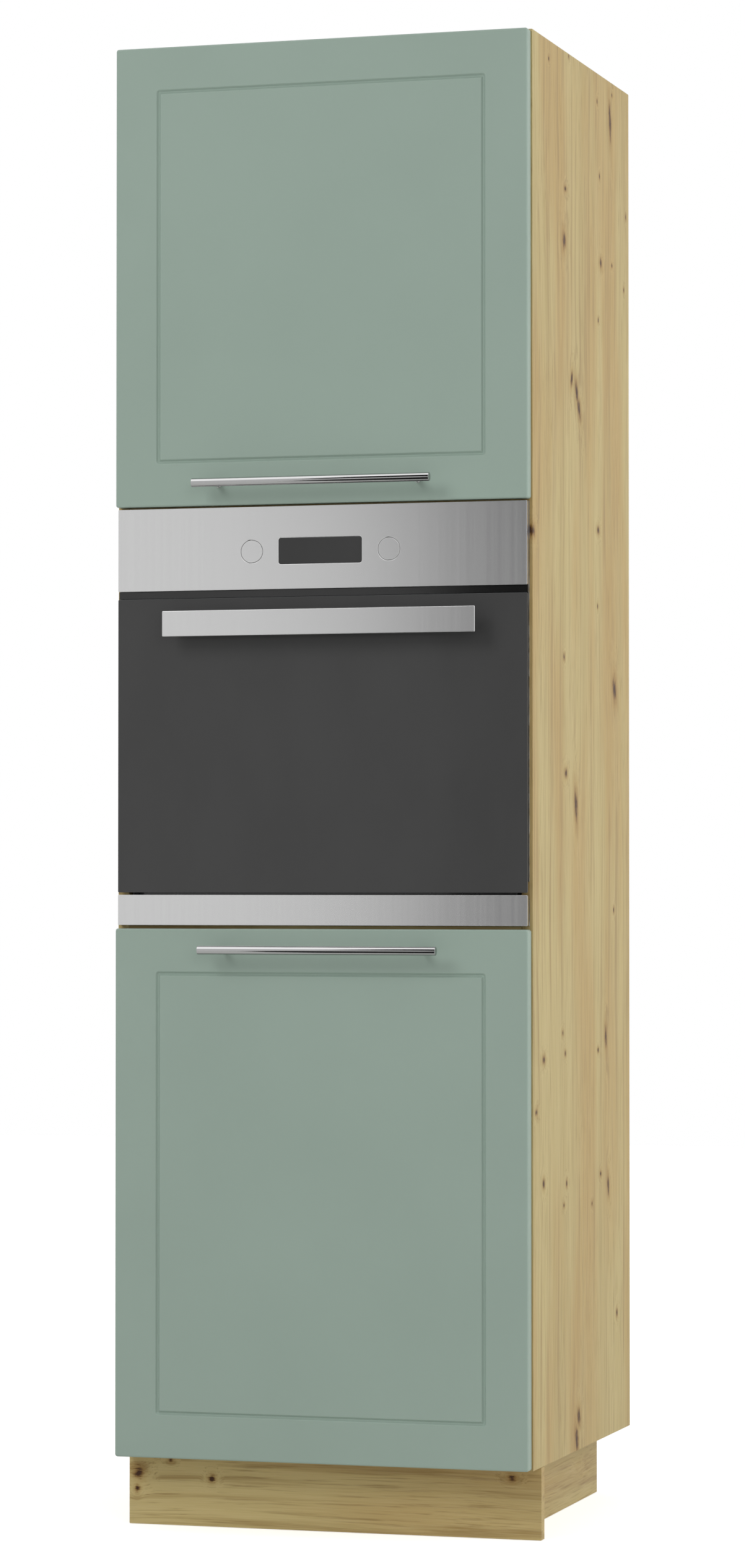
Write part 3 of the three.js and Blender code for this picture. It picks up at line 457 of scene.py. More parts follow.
def oak_decor(name, grain, knots=(), flipped=False, tone=1.0):
    """Knotty oak decor: printed and resin-coated paper pressed on chipboard. It gives the eye a
    pale matt wood with long soft streaks, dark knots and a fine relief of pores along the grain.
    Flipped boards show the pattern upside down; tone lightens the pale wood as painted light,
    a lighter copy of the oak that stands in for light the lamps do not give."""
    colours = user().boards
    # painted light where tone is above 1: the pale wood is lifted to stand for more light on the
    # board
    pale = shade(colours.light, tone)
    material, tree, shader, place = new_finish(name, pale, 0.55, Specular_IOR_Level=0.3)
    if flipped:  # a panel stands from 0.1 m to 2.07 m, and their sum mirrors it
        place = add(tree, "Mapping", {
            "Vector": place, "Location": (0, 0, 2.17), "Scale": (1, 1, -1)})

    def grained(across, length, source, detail, rough=0.5, out=0):
        """Noise drawn out along the grain; its spots have these sizes in millimetres."""
        scale = per(*(length if i == grain else across for i in range(3)))
        where = add(tree, "Mapping", {"Vector": source, "Scale": scale})
        return add(tree, "TexNoise", {
            "Vector": where, "Scale": 1, "Detail": detail, "Roughness": rough}, out)

    wander = add(tree, "VectorMath", {
        0: grained(160, 700, place, 1, out=1), 1: (0.5, 0.5, 0.5)}, operation="SUBTRACT")
    bent = add(tree, "VectorMath", {
        0: wander, 1: (0.05, 0.05, 0.05), 2: place}, operation="MULTIPLY_ADD")
    far = nearest_knot(tree, place, knots) if knots else scattered_knots(tree, bent, grain)
    pull = add(tree, "MapRange", {0: far, 1: 0.6, 2: 4.5, 3: 0.009, 4: 0}, **SMOOTH)
    shift = add(tree, "CombineXYZ", {i: pull for i in range(3) if i != grain})
    flow = add(tree, "VectorMath", {0: bent, 1: shift}, operation="ADD")
    fibres = grained(1.3, 60, place, 2)
    streaks = grained(13, 620, flow, 3, 0.6)
    layers = (
        (grained(75, 1500, flow, 2), 0.38, 0.7, 0.4, colours.streak),
        (grained(90, 520, bent, 1), 0.45, 0.7, 0.55, colours.warm),
        (streaks, 0.48, 0.72, 0.8, colours.streak),
        (grained(2.6, 170, flow, 3, 0.65), 0.5, 0.74, 0.6, "#84693a"),
        (fibres, 0.42, 0.75, 0.2, "#dccb9f"))
    wood = pale
    for pattern, low, high, share, paint in layers:
        amount = add(tree, "MapRange", {0: pattern, 1: low, 2: high, 4: share}, **SMOOTH)
        wood = add(tree, "Mix", {0: amount, 6: wood, 7: paint}, **COLOUR)

    rim = grained(3, 20, place, 3, 0.75)
    far = add(tree, "Math", {0: rim, 1: 2.8, 2: far}, operation="MULTIPLY_ADD")
    for low, high, share, paint in (
            (2.0, 4.0, 0.45, "#96702e"), (1.85, 2.7, 0.8, "#6a4214"), (1.7, 2.15, 1, colours.knot)):
        amount = add(tree, "MapRange", {0: far, 1: low, 2: high, 3: share, 4: 0}, **SMOOTH)
        wood = add(tree, "Mix", {0: amount, 6: wood, 7: paint}, **COLOUR)
    # pores are 0.3 mm wide on the real board and are drawn 1.3 mm wide so that they show
    vary(tree, shader, Base_Color=wood,
         Roughness=add(tree, "MapRange", {0: streaks, 1: 0.3, 2: 0.7, 3: 0.58, 4: 0.48}),
         Normal=add(tree, "Bump", {"Height": fibres, "Strength": 0.5, "Distance": 0.12 * MM}))
    return material


def hardboard():
    """Hardboard: pressed wood fibre, printed smooth inside and left raw brown behind. It gives
    the eye a plain pale inside and a dull speckled brown back."""
    material, tree, shader, place = new_finish("hardboard_pressed", "#c9bb98", 0.7)
    drawn_out = add(tree, "Mapping", {"Vector": place, "Scale": per(14, 14, 500)})
    print_grain = add(tree, "TexNoise", {"Vector": drawn_out, "Scale": 1, "Detail": 3})
    fleck = add(tree, "TexNoise", {
        "Vector": place, "Scale": per(2.2), "Detail": 4, "Roughness": 0.75})
    facing = add(tree, "SeparateXYZ", {0: add(tree, "TexCoord", out="Normal")}, Y)
    outer = add(tree, "Math", {0: facing, 1: 0.5}, operation="GREATER_THAN")
    vary(tree, shader,
         Base_Color=add(tree, "Mix", {
             0: outer,
             6: add(tree, "ValToRGB", {0: print_grain}, stops=(
                 (0.4, "#cdbf9b"), (0.75, "#b6a478"))),
             7: add(tree, "ValToRGB", {0: fleck}, stops=(
                 (0.35, "#8a6b47"), (0.68, "#6d5234")))}, **COLOUR),
         Normal=add(tree, "Bump", {"Height": fleck, "Strength": 0.4, "Distance": 0.08 * MM}))
    return material


def lacquered_board():
    """Matt lacquer sprayed on milled fibreboard. It gives the eye an even sage green with a very
    slight orange peel and soft broad highlights on the rounded edges."""
    lacquer = user().doors.lacquer
    material, tree, shader, place = new_finish("matt_lacquer_sprayed", lacquer, 0.46)
    cloud = add(tree, "TexNoise", {"Vector": place, "Scale": per(200), "Detail": 2})
    peel = add(tree, "TexNoise", {"Vector": place, "Scale": per(2.4), "Detail": 1})
    vary(tree, shader,
         Base_Color=add(tree, "ValToRGB", {0: cloud}, stops=(
             (0.3, shade(lacquer, 0.975)), (0.7, shade(lacquer, 1.02)))),
         Roughness=add(tree, "MapRange", {0: cloud, 1: 0.3, 2: 0.7, 3: 0.5, 4: 0.42}),
         Normal=add(tree, "Bump", {"Height": peel, "Strength": 0.5, "Distance": 0.02 * MM}))
    return material


def polished_chrome():
    """Chrome plated and polished steel. It gives the eye a bright mirror with hairline polishing
    marks along the bar."""
    material, tree, shader, place = new_finish(
        "chrome_polished", user().doors.chrome, 0.07, metallic=1.0)
    drawn_out = add(tree, "Mapping", {"Vector": place, "Scale": per(260, 0.9, 0.9)})
    hairlines = add(tree, "TexNoise", {"Vector": drawn_out, "Scale": 1, "Detail": 2})
    vary(tree, shader, Roughness=add(
        tree, "MapRange", {0: hairlines, 1: 0.35, 2: 0.75, 3: 0.03, 4: 0.08}))
    return material


def brushed_steel():
    """Stainless steel sheet brushed upright. It gives the eye a soft mirror whose gradients break
    into faint upright lines."""
    steel = user().oven.steel
    material, tree, shader, place = new_finish(
        "stainless_steel_brushed", steel, 0.19, metallic=1.0)
    # brush lines are 0.2 mm wide on the real sheet and are drawn 3.5 mm wide so that they show
    drawn_out = add(tree, "Mapping", {"Vector": place, "Scale": per(3.5, 30, 2500)})
    lines = add(tree, "TexNoise", {"Vector": drawn_out, "Scale": 1, "Detail": 1})
    vary(tree, shader,
         Base_Color=add(tree, "ValToRGB", {0: lines}, stops=(
             (0.3, shade(steel, 0.975)), (0.7, steel))),
         Roughness=add(tree, "MapRange", {0: lines, 1: 0.3, 2: 0.7, 3: 0.187, 4: 0.199}),
         Normal=add(tree, "Bump", {"Height": lines, "Strength": 0.003, "Distance": 0.05 * MM}))
    return material


def zinc_plate():
    """Zinc-plated pressed steel. It gives the eye a cool grey metal with cloudy patches."""
    material, tree, shader, place = new_finish("steel_zinc_plated", "#b3b3ae", 0.35, metallic=1.0)
    cloud = add(tree, "TexNoise", {"Vector": place, "Scale": per(9), "Detail": 3})
    vary(tree, shader,
         Base_Color=add(tree, "ValToRGB", {0: cloud}, stops=((0.3, "#a5a7a6"), (0.7, "#bfbdb2"))),
         Roughness=add(tree, "MapRange", {0: cloud, 1: 0.3, 2: 0.7, 3: 0.28, 4: 0.45}))
    return material


def galvanised_sheet():
    """Hot-dip galvanised steel sheet, sprayed black on what faces the front. It gives the eye a
    grey metal with angular spangles, and dark gaps round the oven door: the black there is
    partly real paint and partly painted shade in the gaps."""
    material, tree, shader, place = new_finish(
        "steel_sheet_galvanised", "#9fa3a5", 0.45, metallic=1.0)
    spangle = add(tree, "TexVoronoi", {"Vector": place, "Scale": per(11)}, "Color")
    tone = add(tree, "SeparateColor", {"Color": spangle})
    facing = add(tree, "SeparateXYZ", {0: add(tree, "TexCoord", out="Normal")}, Y)
    # painted shade, partly real paint: faces that look to the front turn black, which darkens the
    # gaps round the oven door
    bare = add(tree, "Math", {0: facing, 1: -0.6}, operation="GREATER_THAN")
    metal = add(tree, "ValToRGB", {0: tone}, stops=((0, "#969a9c"), (1, "#a9adae")))
    vary(tree, shader, Metallic=bare,
         Base_Color=add(tree, "Mix", {0: bare, 6: "#141414", 7: metal}, **COLOUR),
         Roughness=add(tree, "MapRange", {0: tone, 3: 0.36, 4: 0.55}))
    return material


def printed_glass(name, base):
    """Float glass with a dark print on its back. It gives the eye a deep even grey under a weak
    reflection, with the faintest haze of wiping, and a paler line on its upper edge: a painted
    highlight on the faces that look up, partly the paler ground edge of real glass."""
    material, tree, shader, place = new_finish(
        name, base, 0.35, Specular_IOR_Level=0.15, Coat_Weight=0.12, Coat_Roughness=0.05)
    drawn_out = add(tree, "Mapping", {"Vector": place, "Scale": per(70, 70, 130)})
    haze = add(tree, "TexNoise", {"Vector": drawn_out, "Scale": 1, "Detail": 3})
    # painted highlight: faces that look up, on the rounded upper edge, turn a paler grey, partly the
    # real ground edge
    painted_highlight_mask = add(tree, "SeparateXYZ", {0: add(tree, "TexCoord", out="Normal")}, Z)
    print_tone = add(tree, "ValToRGB", {0: haze}, stops=(
        (0.3, shade(base, 0.97)), (0.7, shade(base, 1.04))))
    vary(tree, shader,
         Base_Color=add(tree, "Mix", {
             0: add(tree, "MapRange", {0: painted_highlight_mask, 1: 0.15, 2: 0.6}), 6: print_tone, 7: "#66696a"},
             **COLOUR),
         Roughness=add(tree, "MapRange", {0: haze, 1: 0.3, 2: 0.7, 3: 0.32, 4: 0.38}))
    return material


def clear_glass():
    """Tempered float glass, slightly grey. It gives the eye a see-through pane with clean
    reflections."""
    material, tree, shader, place = new_finish(
        "tempered_glass_clear", "#b9c2c0", 0.04, Transmission_Weight=0.85)
    haze = add(tree, "TexNoise", {"Vector": place, "Scale": per(60), "Detail": 3})
    vary(tree, shader, Roughness=add(
        tree, "MapRange", {0: haze, 1: 0.3, 2: 0.7, 3: 0.02, 4: 0.08}))
    return material


def enamel():
    """Vitreous enamel fired on steel. It gives the eye a glossy near-black with fine pale
    speckles, drawn 2 mm wide so that they show."""
    material, tree, shader, place = new_finish(
        "vitreous_enamel_fired", "#1c1d21", 0.2, ior=1.52, Coat_Weight=0.3)
    speck = add(tree, "TexVoronoi", {"Vector": place, "Scale": per(6)}, "Distance")
    wave = add(tree, "TexNoise", {"Vector": place, "Scale": per(14), "Detail": 2})
    vary(tree, shader,
         Base_Color=add(tree, "ValToRGB", {0: speck}, stops=((0.12, "#5b6068"), (0.2, "#1c1d21"))),
         Normal=add(tree, "Bump", {"Height": wave, "Strength": 0.3, "Distance": 0.15 * MM}))
    return material


def moulded_plastic(name, base, roughness, texture=0.4):
    """Injection-moulded plastic from a mould with a spark-eroded grain, or from a polished one. It
    gives the eye a dull even face, or a gloss that mirrors the room faintly."""
    material, tree, shader, place = new_finish(name, base, roughness)
    grain = add(tree, "TexNoise", {"Vector": place, "Scale": per(1.2), "Detail": 2})
    cloud = add(tree, "TexNoise", {"Vector": place, "Scale": per(30), "Detail": 2})
    vary(tree, shader,
         Base_Color=add(tree, "ValToRGB", {0: cloud}, stops=(
             (0.3, shade(base, 0.92)), (0.7, shade(base, 1.08)))),
         Roughness=add(tree, "MapRange", {
             0: grain, 1: 0.3, 2: 0.7, 3: 0.88 * roughness, 4: 1.12 * roughness}),
         Normal=add(tree, "Bump", {"Height": grain, "Strength": texture, "Distance": 0.06 * MM}))
    return material


def painted_sheet():
    """Steel sheet with baked black powder paint. It gives the eye a dark dull skin with a fine
    orange peel."""
    material, tree, shader, place = new_finish("steel_powder_painted", "#171717", 0.45)
    peel = add(tree, "TexNoise", {"Vector": place, "Scale": per(3), "Detail": 2})
    vary(tree, shader,
         Roughness=add(tree, "MapRange", {0: peel, 1: 0.3, 2: 0.7, 3: 0.4, 4: 0.52}),
         Normal=add(tree, "Bump", {"Height": peel, "Strength": 0.5, "Distance": 0.04 * MM}))
    return material


def braided_fibre():
    """Braided glass-fibre cord. It gives the eye a dark matt rope with a 3 mm diagonal braid."""
    material, tree, shader, place = new_finish(
        "glass_fibre_braided", "#45433f", 0.9, Sheen_Weight=0.3)
    strands = [add(tree, "TexWave", {
        "Vector": add(tree, "Mapping", {"Vector": place, "Scale": per(*sizes)}), "Scale": 1}, 1,
        bands_direction="DIAGONAL") for sizes in ((10, 10, 10), (-10, 10, 10))]
    braid = add(tree, "Math", {0: strands[0], 1: strands[1]}, operation="MAXIMUM")
    vary(tree, shader,
         Base_Color=add(tree, "ValToRGB", {0: braid}, stops=((0, "#2c2a27"), (1, "#57544e"))),
         Normal=add(tree, "Bump", {"Height": braid, "Strength": 0.8, "Distance": 0.5 * MM}))
    return material


def nickel_wire():
    """Bright nickel-plated drawn wire. It gives the eye thin silver lines, a little straw-coloured
    where heat has touched them."""
    material, tree, shader, place = new_finish("wire_nickel_plated", "#c2c0ba", 0.2, metallic=1.0)
    heat = add(tree, "TexNoise", {"Vector": place, "Scale": per(60), "Detail": 2})
    vary(tree, shader,
         Base_Color=add(tree, "ValToRGB", {0: heat}, stops=((0.4, "#c4c3bf"), (0.75, "#b5a98e"))),
         Roughness=add(tree, "MapRange", {0: heat, 1: 0.3, 2: 0.7, 3: 0.16, 4: 0.3}))
    return material


def lamp_glass():
    """Pressed borosilicate glass, acid-frosted. It gives the eye a milky cover."""
    material, tree, shader, place = new_finish(
        "lamp_glass_frosted", "#e6e3d8", 0.4, ior=1.47, Transmission_Weight=0.3)
    frost = add(tree, "TexNoise", {"Vector": place, "Scale": per(4), "Detail": 2})
    vary(tree, shader, Roughness=add(
        tree, "MapRange", {0: frost, 1: 0.3, 2: 0.7, 3: 0.32, 4: 0.48}))
    return material


FINISHES = {}
CARCASS_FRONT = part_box("side_panel_right")[0].y
THROUGH = 9  # a knot's radius across the board, in metres: it goes right through


def finish_of(slot, way=""):
    """The material of a slot, made once; way is the run of the grain on oak boards."""
    oven = user().oven
    side_knots = [
        ((0, CARCASS_FRONT + y * MM, z * MM), (THROUGH, w * MM / 2, h * MM / 2),
         (math.radians(lean), 0, 0)) for y, z, w, h, lean in SIDE_KNOTS]
    front_knots = [
        ((x * MM, 0, z * MM), (w * MM / 2, THROUGH, h * MM / 2), (0, 0, 0))
        for x, z, w, h in PLINTH_KNOTS]
    makers = {
        "oak_decor_side_right": lambda: oak_decor("oak_decor_upright", Z, side_knots),
        "oak_decor_side_left": lambda: oak_decor("oak_decor_upright_turned", Z, side_knots, True),
        "oak_decor_across": lambda: oak_decor("oak_decor_crosswise", X),
        # painted light: the plinth front gets a lighter copy of the oak, standing in for light the
        # lamps do not give it
        "oak_decor_plinth": lambda: oak_decor("oak_decor_plinth_front", X, front_knots, tone=1.14),
        "oak_decor_deep": lambda: oak_decor("oak_decor_front_to_back", Y),
        "back_board": hardboard,
        "green_lacquer": lacquered_board,
        "polished_chrome": polished_chrome,
        "zinc_plate": zinc_plate,
        "brushed_steel": brushed_steel,
        "dark_glass": lambda: printed_glass("float_glass_printed", oven.glass),
        "dark_glass_display": lambda: printed_glass("display_glass_printed", oven.display),
        "clear_glass": clear_glass,
        "grey_plastic": lambda: moulded_plastic("polyamide_grey_moulded", "#8b8d8c", 0.6),
        "grey_plastic_beige": lambda: moulded_plastic("polystyrene_beige_moulded", "#a98f5e", 0.5),
        "black_plastic": lambda: moulded_plastic("abs_black_moulded", "#1d1d1d", 0.5),
        "black_plastic_gloss": lambda: moulded_plastic("abs_black_polished", oven.black, 0.1, 0.02),
        "galvanised_sheet": galvanised_sheet,
        "galvanised_sheet_painted": painted_sheet,
        "dark_enamel": enamel,
        "fibre_seal": braided_fibre,
        "chrome_wire": nickel_wire,
        "lamp_glass": lamp_glass,
    }
    key = f"{slot}_{way}" if way else slot
    if key not in FINISHES:
        FINISHES[key] = makers[key]()
    return FINISHES[key]


# ------------------------------------------------------------------ cabinet pieces
DOOR_BODIES = {"upper": "upper_door_leaf", "lower": "lower_door_leaf"}
CUP_DIAMETER, CUP_FROM_SIDE, CUP_FROM_END, CUP_POCKET = (v * MM for v in (35.6, 22.5, 98, 11.8))
HANDLE_LEG_INSET = 27 * MM


class BuildBoards(bpy.types.Operator):
    """The carcass: sides, fixed boards, loose shelves and the nailed thin backs."""
    bl_idname = "oven_unit.boards"
    bl_label = "Boards"

    def execute(self, context):
        edge = user().boards.edge
        for side in ("right", "left"):
            dress(f"side_panel_{side}", finish_of("oak_decor", f"side_{side}"), edge)
        for node in ("bottom_panel", "oven_floor_board", "oven_ceiling_board", "top_panel",
                     "adjustable_shelf_lower", "adjustable_shelf_upper"):
            dress(node, finish_of("oak_decor", "across"), edge)
        for node in ("back_panel_lower", "back_panel_upper"):
            self.nail_back(node)

        from_side, from_end = 34 * MM, 60 * MM
        for name, way, out, nodes in (
                ("down", 0, -1, ("top_panel", "oven_floor_board")),
                ("up", 1, 1, ("oven_ceiling_board", "bottom_panel"))):
            seats = []
            for node in nodes:
                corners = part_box(node)
                lo, hi = corners
                seats += [(side * (hi.x - from_side), y, corners[way].z) for side in (-1, 1)
                          for y in (lo.y + from_end, hi.y - from_end)]
            small(f"connector_caps_{name}", "connector_cap", seats, Z, out,
                  slot="grey_plastic", way="beige")
        return {"FINISHED"}

    def nail_back(self, node):
        """A thin back that leaves room for the heads of the nails along its edges."""
        head, pitch, inset, edge, corner = (v * MM for v in (SMALL["nail"][1], 118, 7, 0.25, 1))
        lo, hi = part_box(node)
        face = hi.y - head
        sheet = shape(f"{node}_sheet", plate, lo, (hi.x, face, hi.z), edge, corner, 2)
        finish(sheet, finish_of("back_board"), "carcass", "back_board", node)
        rows = round((hi.z - lo.z) / pitch)
        climb = (hi.z - lo.z - 2 * inset) / rows
        seats = [(side * (hi.x - inset), face, lo.z + inset + climb * k)
                 for side in (-1, 1) for k in range(rows + 1)]
        seats += [(k * pitch, face, z) for k in (-2, -1, 0, 1, 2)
                  for z in (lo.z + inset, hi.z - inset)]
        small(f"{node}_nails", "nail", seats, Y, 1)


class BuildPlinth(bpy.types.Operator):
    """The plinth boards under the unit, with the steel brackets in their corners."""
    bl_idname = "oven_unit.plinth"
    bl_label = "Plinth"

    def execute(self, context):
        edge = user().boards.edge
        dress("plinth_front", finish_of("oak_decor", "plinth"), edge)
        leg, thick, low, high = (v * MM for v in (28, 1.5, 35, 65))
        middle, along = (low + high) / 2, 0.65 * leg
        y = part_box("plinth_front")[1].y
        for side, name in ((-1, "left"), (1, "right")):
            dress(f"plinth_{name}", finish_of("oak_decor", "deep"), edge)
            lo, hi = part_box(f"plinth_{name}")
            x = lo.x if side > 0 else hi.x
            angle = [(x, y), (x - side * leg, y), (x - side * leg, y + thick),
                     (x - side * thick, y + thick), (x - side * thick, y + leg), (x, y + leg)]
            bracket = shape(f"plinth_bracket_{name}", skin, [
                [Vector((*corner, z)) for corner in angle] for z in (low, high)])
            finish(bracket, finish_of("zinc_plate"), "carcass", "zinc_plate")
            for way, seat, axis, out in (
                    ("front", (x - side * along, y + thick, middle), Y, 1),
                    ("side", (x - side * thick, y + along, middle), X, -side)):
                small(f"plinth_screw_{name}_{way}", "bracket_screw", [seat], axis, out)
        return {"FINISHED"}


def door_outlines(lo, hi, sizes):
    """Outlines from the back of a door over its rounded front edge and through its groove."""
    thick, edge, back = hi.y - lo.y, sizes.edge, 1 * MM
    start, width, deep = sizes.groove_inset, sizes.groove_width, sizes.groove_depth
    edge_steps, groove_steps = 6, 16
    profile = [(back, thick), (back * 0.3, thick - back * 0.3), (0, thick - back)]
    for k in range(edge_steps + 1):
        turn = math.pi / 2 * k / edge_steps
        profile.append((edge * (1 - math.cos(turn)), edge * (1 - math.sin(turn))))
    for k in range(groove_steps + 1):
        turn = 2 * math.pi * k / groove_steps
        profile.append((start + width * k / groove_steps, deep * (1 - math.cos(turn)) / 2))
    outlines = []
    for inset, depth in profile:
        low, high = (lo.x + inset, lo.z + inset), (hi.x - inset, hi.z - inset)
        if inset < edge:
            radius = sizes.corner - inset
        else:
            radius = max(sizes.groove_corner - max(0, inset - start), MM)
        outlines.append(rounded_rectangle(low, high, lo.y + depth, radius))
    return outlines


class BuildCabinetDoors(bpy.types.Operator):
    """Both cabinet doors with their milled groove and the pockets of the hinge cups."""
    bl_idname = "oven_unit.doors"
    bl_label = "Cabinet doors"

    def execute(self, context):
        for name, body in DOOR_BODIES.items():
            lo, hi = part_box(f"{name}_door")
            front = shape(f"{name}_door_front", skin, door_outlines(lo, hi, user().doors))
            pockets = [
                shape("pocket", pin, (lo.x + CUP_FROM_SIDE, 0, z), Y, hi.y - CUP_POCKET,
                      hi.y + MM, CUP_DIAMETER / 2, 0.1 * MM, 40)
                for z in (lo.z + CUP_FROM_END, hi.z - CUP_FROM_END)]
            combine(front, "DIFFERENCE", *pockets)
            finish(front, finish_of("green_lacquer"), body, "green_lacquer", f"{name}_door")
        return {"FINISHED"}


class BuildBarHandles(bpy.types.Operator):
    """The round bar handles with their legs and screws, and the buffers of the doors."""
    bl_idname = "oven_unit.handles"
    bl_label = "Bar handles"

    def execute(self, context):
        sizes = user().doors
        end_edge, from_side, from_end = (v * MM for v in (0.4, 7, 20))
        for name, body in DOOR_BODIES.items():
            lo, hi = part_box(f"{name}_handle")
            radius, leg = sizes.bar / 2, sizes.leg / 2
            y, z = lo.y + radius, (lo.z + hi.z) / 2
            places = (lo.x + HANDLE_LEG_INSET, hi.x - HANDLE_LEG_INSET)
            # a leg ends in a low collar on the door
            profile = [(y, leg), (hi.y - 2.2 * MM, leg), (hi.y - 1.6 * MM, leg + 0.8 * MM),
                       (hi.y - 0.3 * MM, leg + 0.8 * MM), (hi.y, leg + 0.5 * MM)]
            handle = shape(
                f"{name}_handle_bar", pin, (0, y, z), X, lo.x, hi.x, radius, end_edge, 48)
            legs = [shape("leg", turned, (x, 0, z), Y, profile, 32) for x in places]
            combine(handle, "UNION", *legs)
            finish(handle, finish_of("polished_chrome"), body, "polished_chrome",
                   f"{name}_handle")
            lo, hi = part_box(f"{name}_door")
            small(f"{name}_handle_screws", "handle_screw", [(x, hi.y, z) for x in places],
                  Y, 1, body)
            small(f"{name}_door_buffers", "door_buffer", [
                (hi.x - from_side, hi.y, at) for at in (lo.z + from_end, hi.z - from_end)],
                Y, 1, body, "grey_plastic")
        return {"FINISHED"}


class BuildHinges(bpy.types.Operator):
    """The concealed hinges with their screws, and the pins under the loose shelves."""
    bl_idname = "oven_unit.hinges"
    bl_label = "Hinges and shelf pins"

    def execute(self, context):
        zinc = finish_of("zinc_plate")
        # from the cup's edge to its screws, thickness of the mounting plate, and from the arm's
        # end to the plate's screws
        wing_inset, plate_thick, plate_inset = (v * MM for v in (12, 2.5, 28))
        for name, body in DOOR_BODIES.items():
            for end in ("bottom", "top"):
                cup, arm = f"{name}_hinge_cup_{end}", f"{name}_hinge_arm_{end}"
                dress(cup, zinc, 0.3 * MM)
                dress(arm, zinc, 0.6 * MM)
                (lo, hi), (arm_lo, arm_hi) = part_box(cup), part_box(arm)
                z = (lo.z + hi.z) / 2
                small(f"{name}_cup_screws_{end}", "cup_screw", [
                    (hi.x - wing_inset, hi.y, z + up * MM) for up in (-25, 25)], Y, 1, body)
                small(f"{name}_plate_screws_{end}", "plate_screw", [
                    (arm_lo.x + plate_thick, arm_hi.y - plate_inset, z + up * MM)
                    for up in (-20, 20)], X, 1)
                small(f"{name}_arm_screws_{end}", "arm_screw", [
                    (arm_hi.x, arm_hi.y - back * MM, z) for back in (12, 42)], X, 1)
            for side in ("left", "right"):
                for row in ("front", "back"):
                    dress(f"shelf_pin_{name}_{side}_{row}", zinc, 0.4 * MM)
        return {"FINISHED"}


# ------------------------------------------------------------------ oven pieces
class BuildOvenControls(bpy.types.Operator):
    """The steel control panel with its display window, the knobs and their openings."""
    bl_idname = "oven_unit.oven_panel"
    bl_label = "Oven controls"

    def execute(self, context):
        sizes = user().oven
        steel = finish_of("brushed_steel")
        corner, window_gap, window_corner, knob_gap = (v * MM for v in (1.2, 0.35, 3, 0.28))
        lo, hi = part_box("control_panel")
        panel = shape("control_panel_sheet", plate, lo, hi, sizes.edge, corner, 4)
        window_lo, window_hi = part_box("display_window")
        holes = [shape("hole", skin, [
            rounded_rectangle((window_lo.x - window_gap, window_lo.z - window_gap),
                              (window_hi.x + window_gap, window_hi.z + window_gap),
                              y, window_corner + 0.2 * MM, 6)
            for y in (lo.y - MM, hi.y + MM)])]
        for side in ("left", "right"):
            knob_lo, knob_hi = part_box(f"knob_{side}")
            centre, radius = (knob_lo + knob_hi) / 2, (knob_hi.x - knob_lo.x) / 2
            holes.append(shape("hole", pin, centre, Y, lo.y - MM, hi.y + MM,
                               radius + knob_gap, 0.1 * MM, 64))
            rounding = eased(knob_lo.y, knob_hi.y, sizes.knob_edge, 4)
            knob = shape(f"knob_{side}_cap", turned, (centre.x, 0, centre.z), Y, [
                (at, radius - inset) for at, inset in rounding], 64)
            finish(knob, steel, f"{side}_knob", "brushed_steel", f"knob_{side}")
            dress(f"switch_shaft_{side}", finish_of("zinc_plate"), 0.3 * MM)
        combine(panel, "DIFFERENCE", *holes)
        rims = panel.modifiers.new("Opening edges", "BEVEL")
        rims.width, rims.segments, rims.angle_limit = sizes.knob_edge, 3, math.radians(60)
        finish(panel, steel, "carcass", "brushed_steel", "control_panel")
        window = shape("display_glass", plate, window_lo, window_hi, 0.4 * MM, window_corner, 3)
        finish(window, finish_of("dark_glass", "display"), "carcass", "dark_glass",
               "display_window")
        dress("control_module", finish_of("grey_plastic"), 1 * MM)
        return {"FINISHED"}


class BuildOvenTrim(bpy.types.Operator):
    """The vent strip between panel and door, and the steel strip under the door."""
    bl_idname = "oven_unit.oven_trim"
    bl_label = "Oven trim"

    def execute(self, context):
        # the strip's slots are open behind a closed face
        lo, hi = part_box("vent_strip")
        slots, pitch, slot, face = 12, 46 * MM, 34 * MM, lo.y + 1.2 * MM
        comb = [(lo.x, lo.y), (hi.x, lo.y), (hi.x, hi.y)]
        for k in range(slots):
            middle = ((slots - 1) / 2 - k) * pitch
            comb += [(middle + slot / 2, hi.y), (middle + slot / 2, face),
                     (middle - slot / 2, face), (middle - slot / 2, hi.y)]
        comb.append((lo.x, hi.y))
        strip = shape("vent_strip_cover", skin, [
            [Vector((x, y, z)) for x, y in comb] for z in (lo.z, hi.z)])
        rims = strip.modifiers.new("Moulded edges", "BEVEL")
        rims.width, rims.segments = 0.25 * MM, 2
        finish(strip, finish_of("black_plastic", "gloss"), "carcass", "black_plastic",
               "vent_strip")
        lo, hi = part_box("bottom_trim")
        trim = shape("bottom_trim_sheet", plate, lo, hi, user().oven.edge, 1.2 * MM, 4)
        finish(trim, finish_of("brushed_steel"), "carcass", "brushed_steel", "bottom_trim")
        return {"FINISHED"}


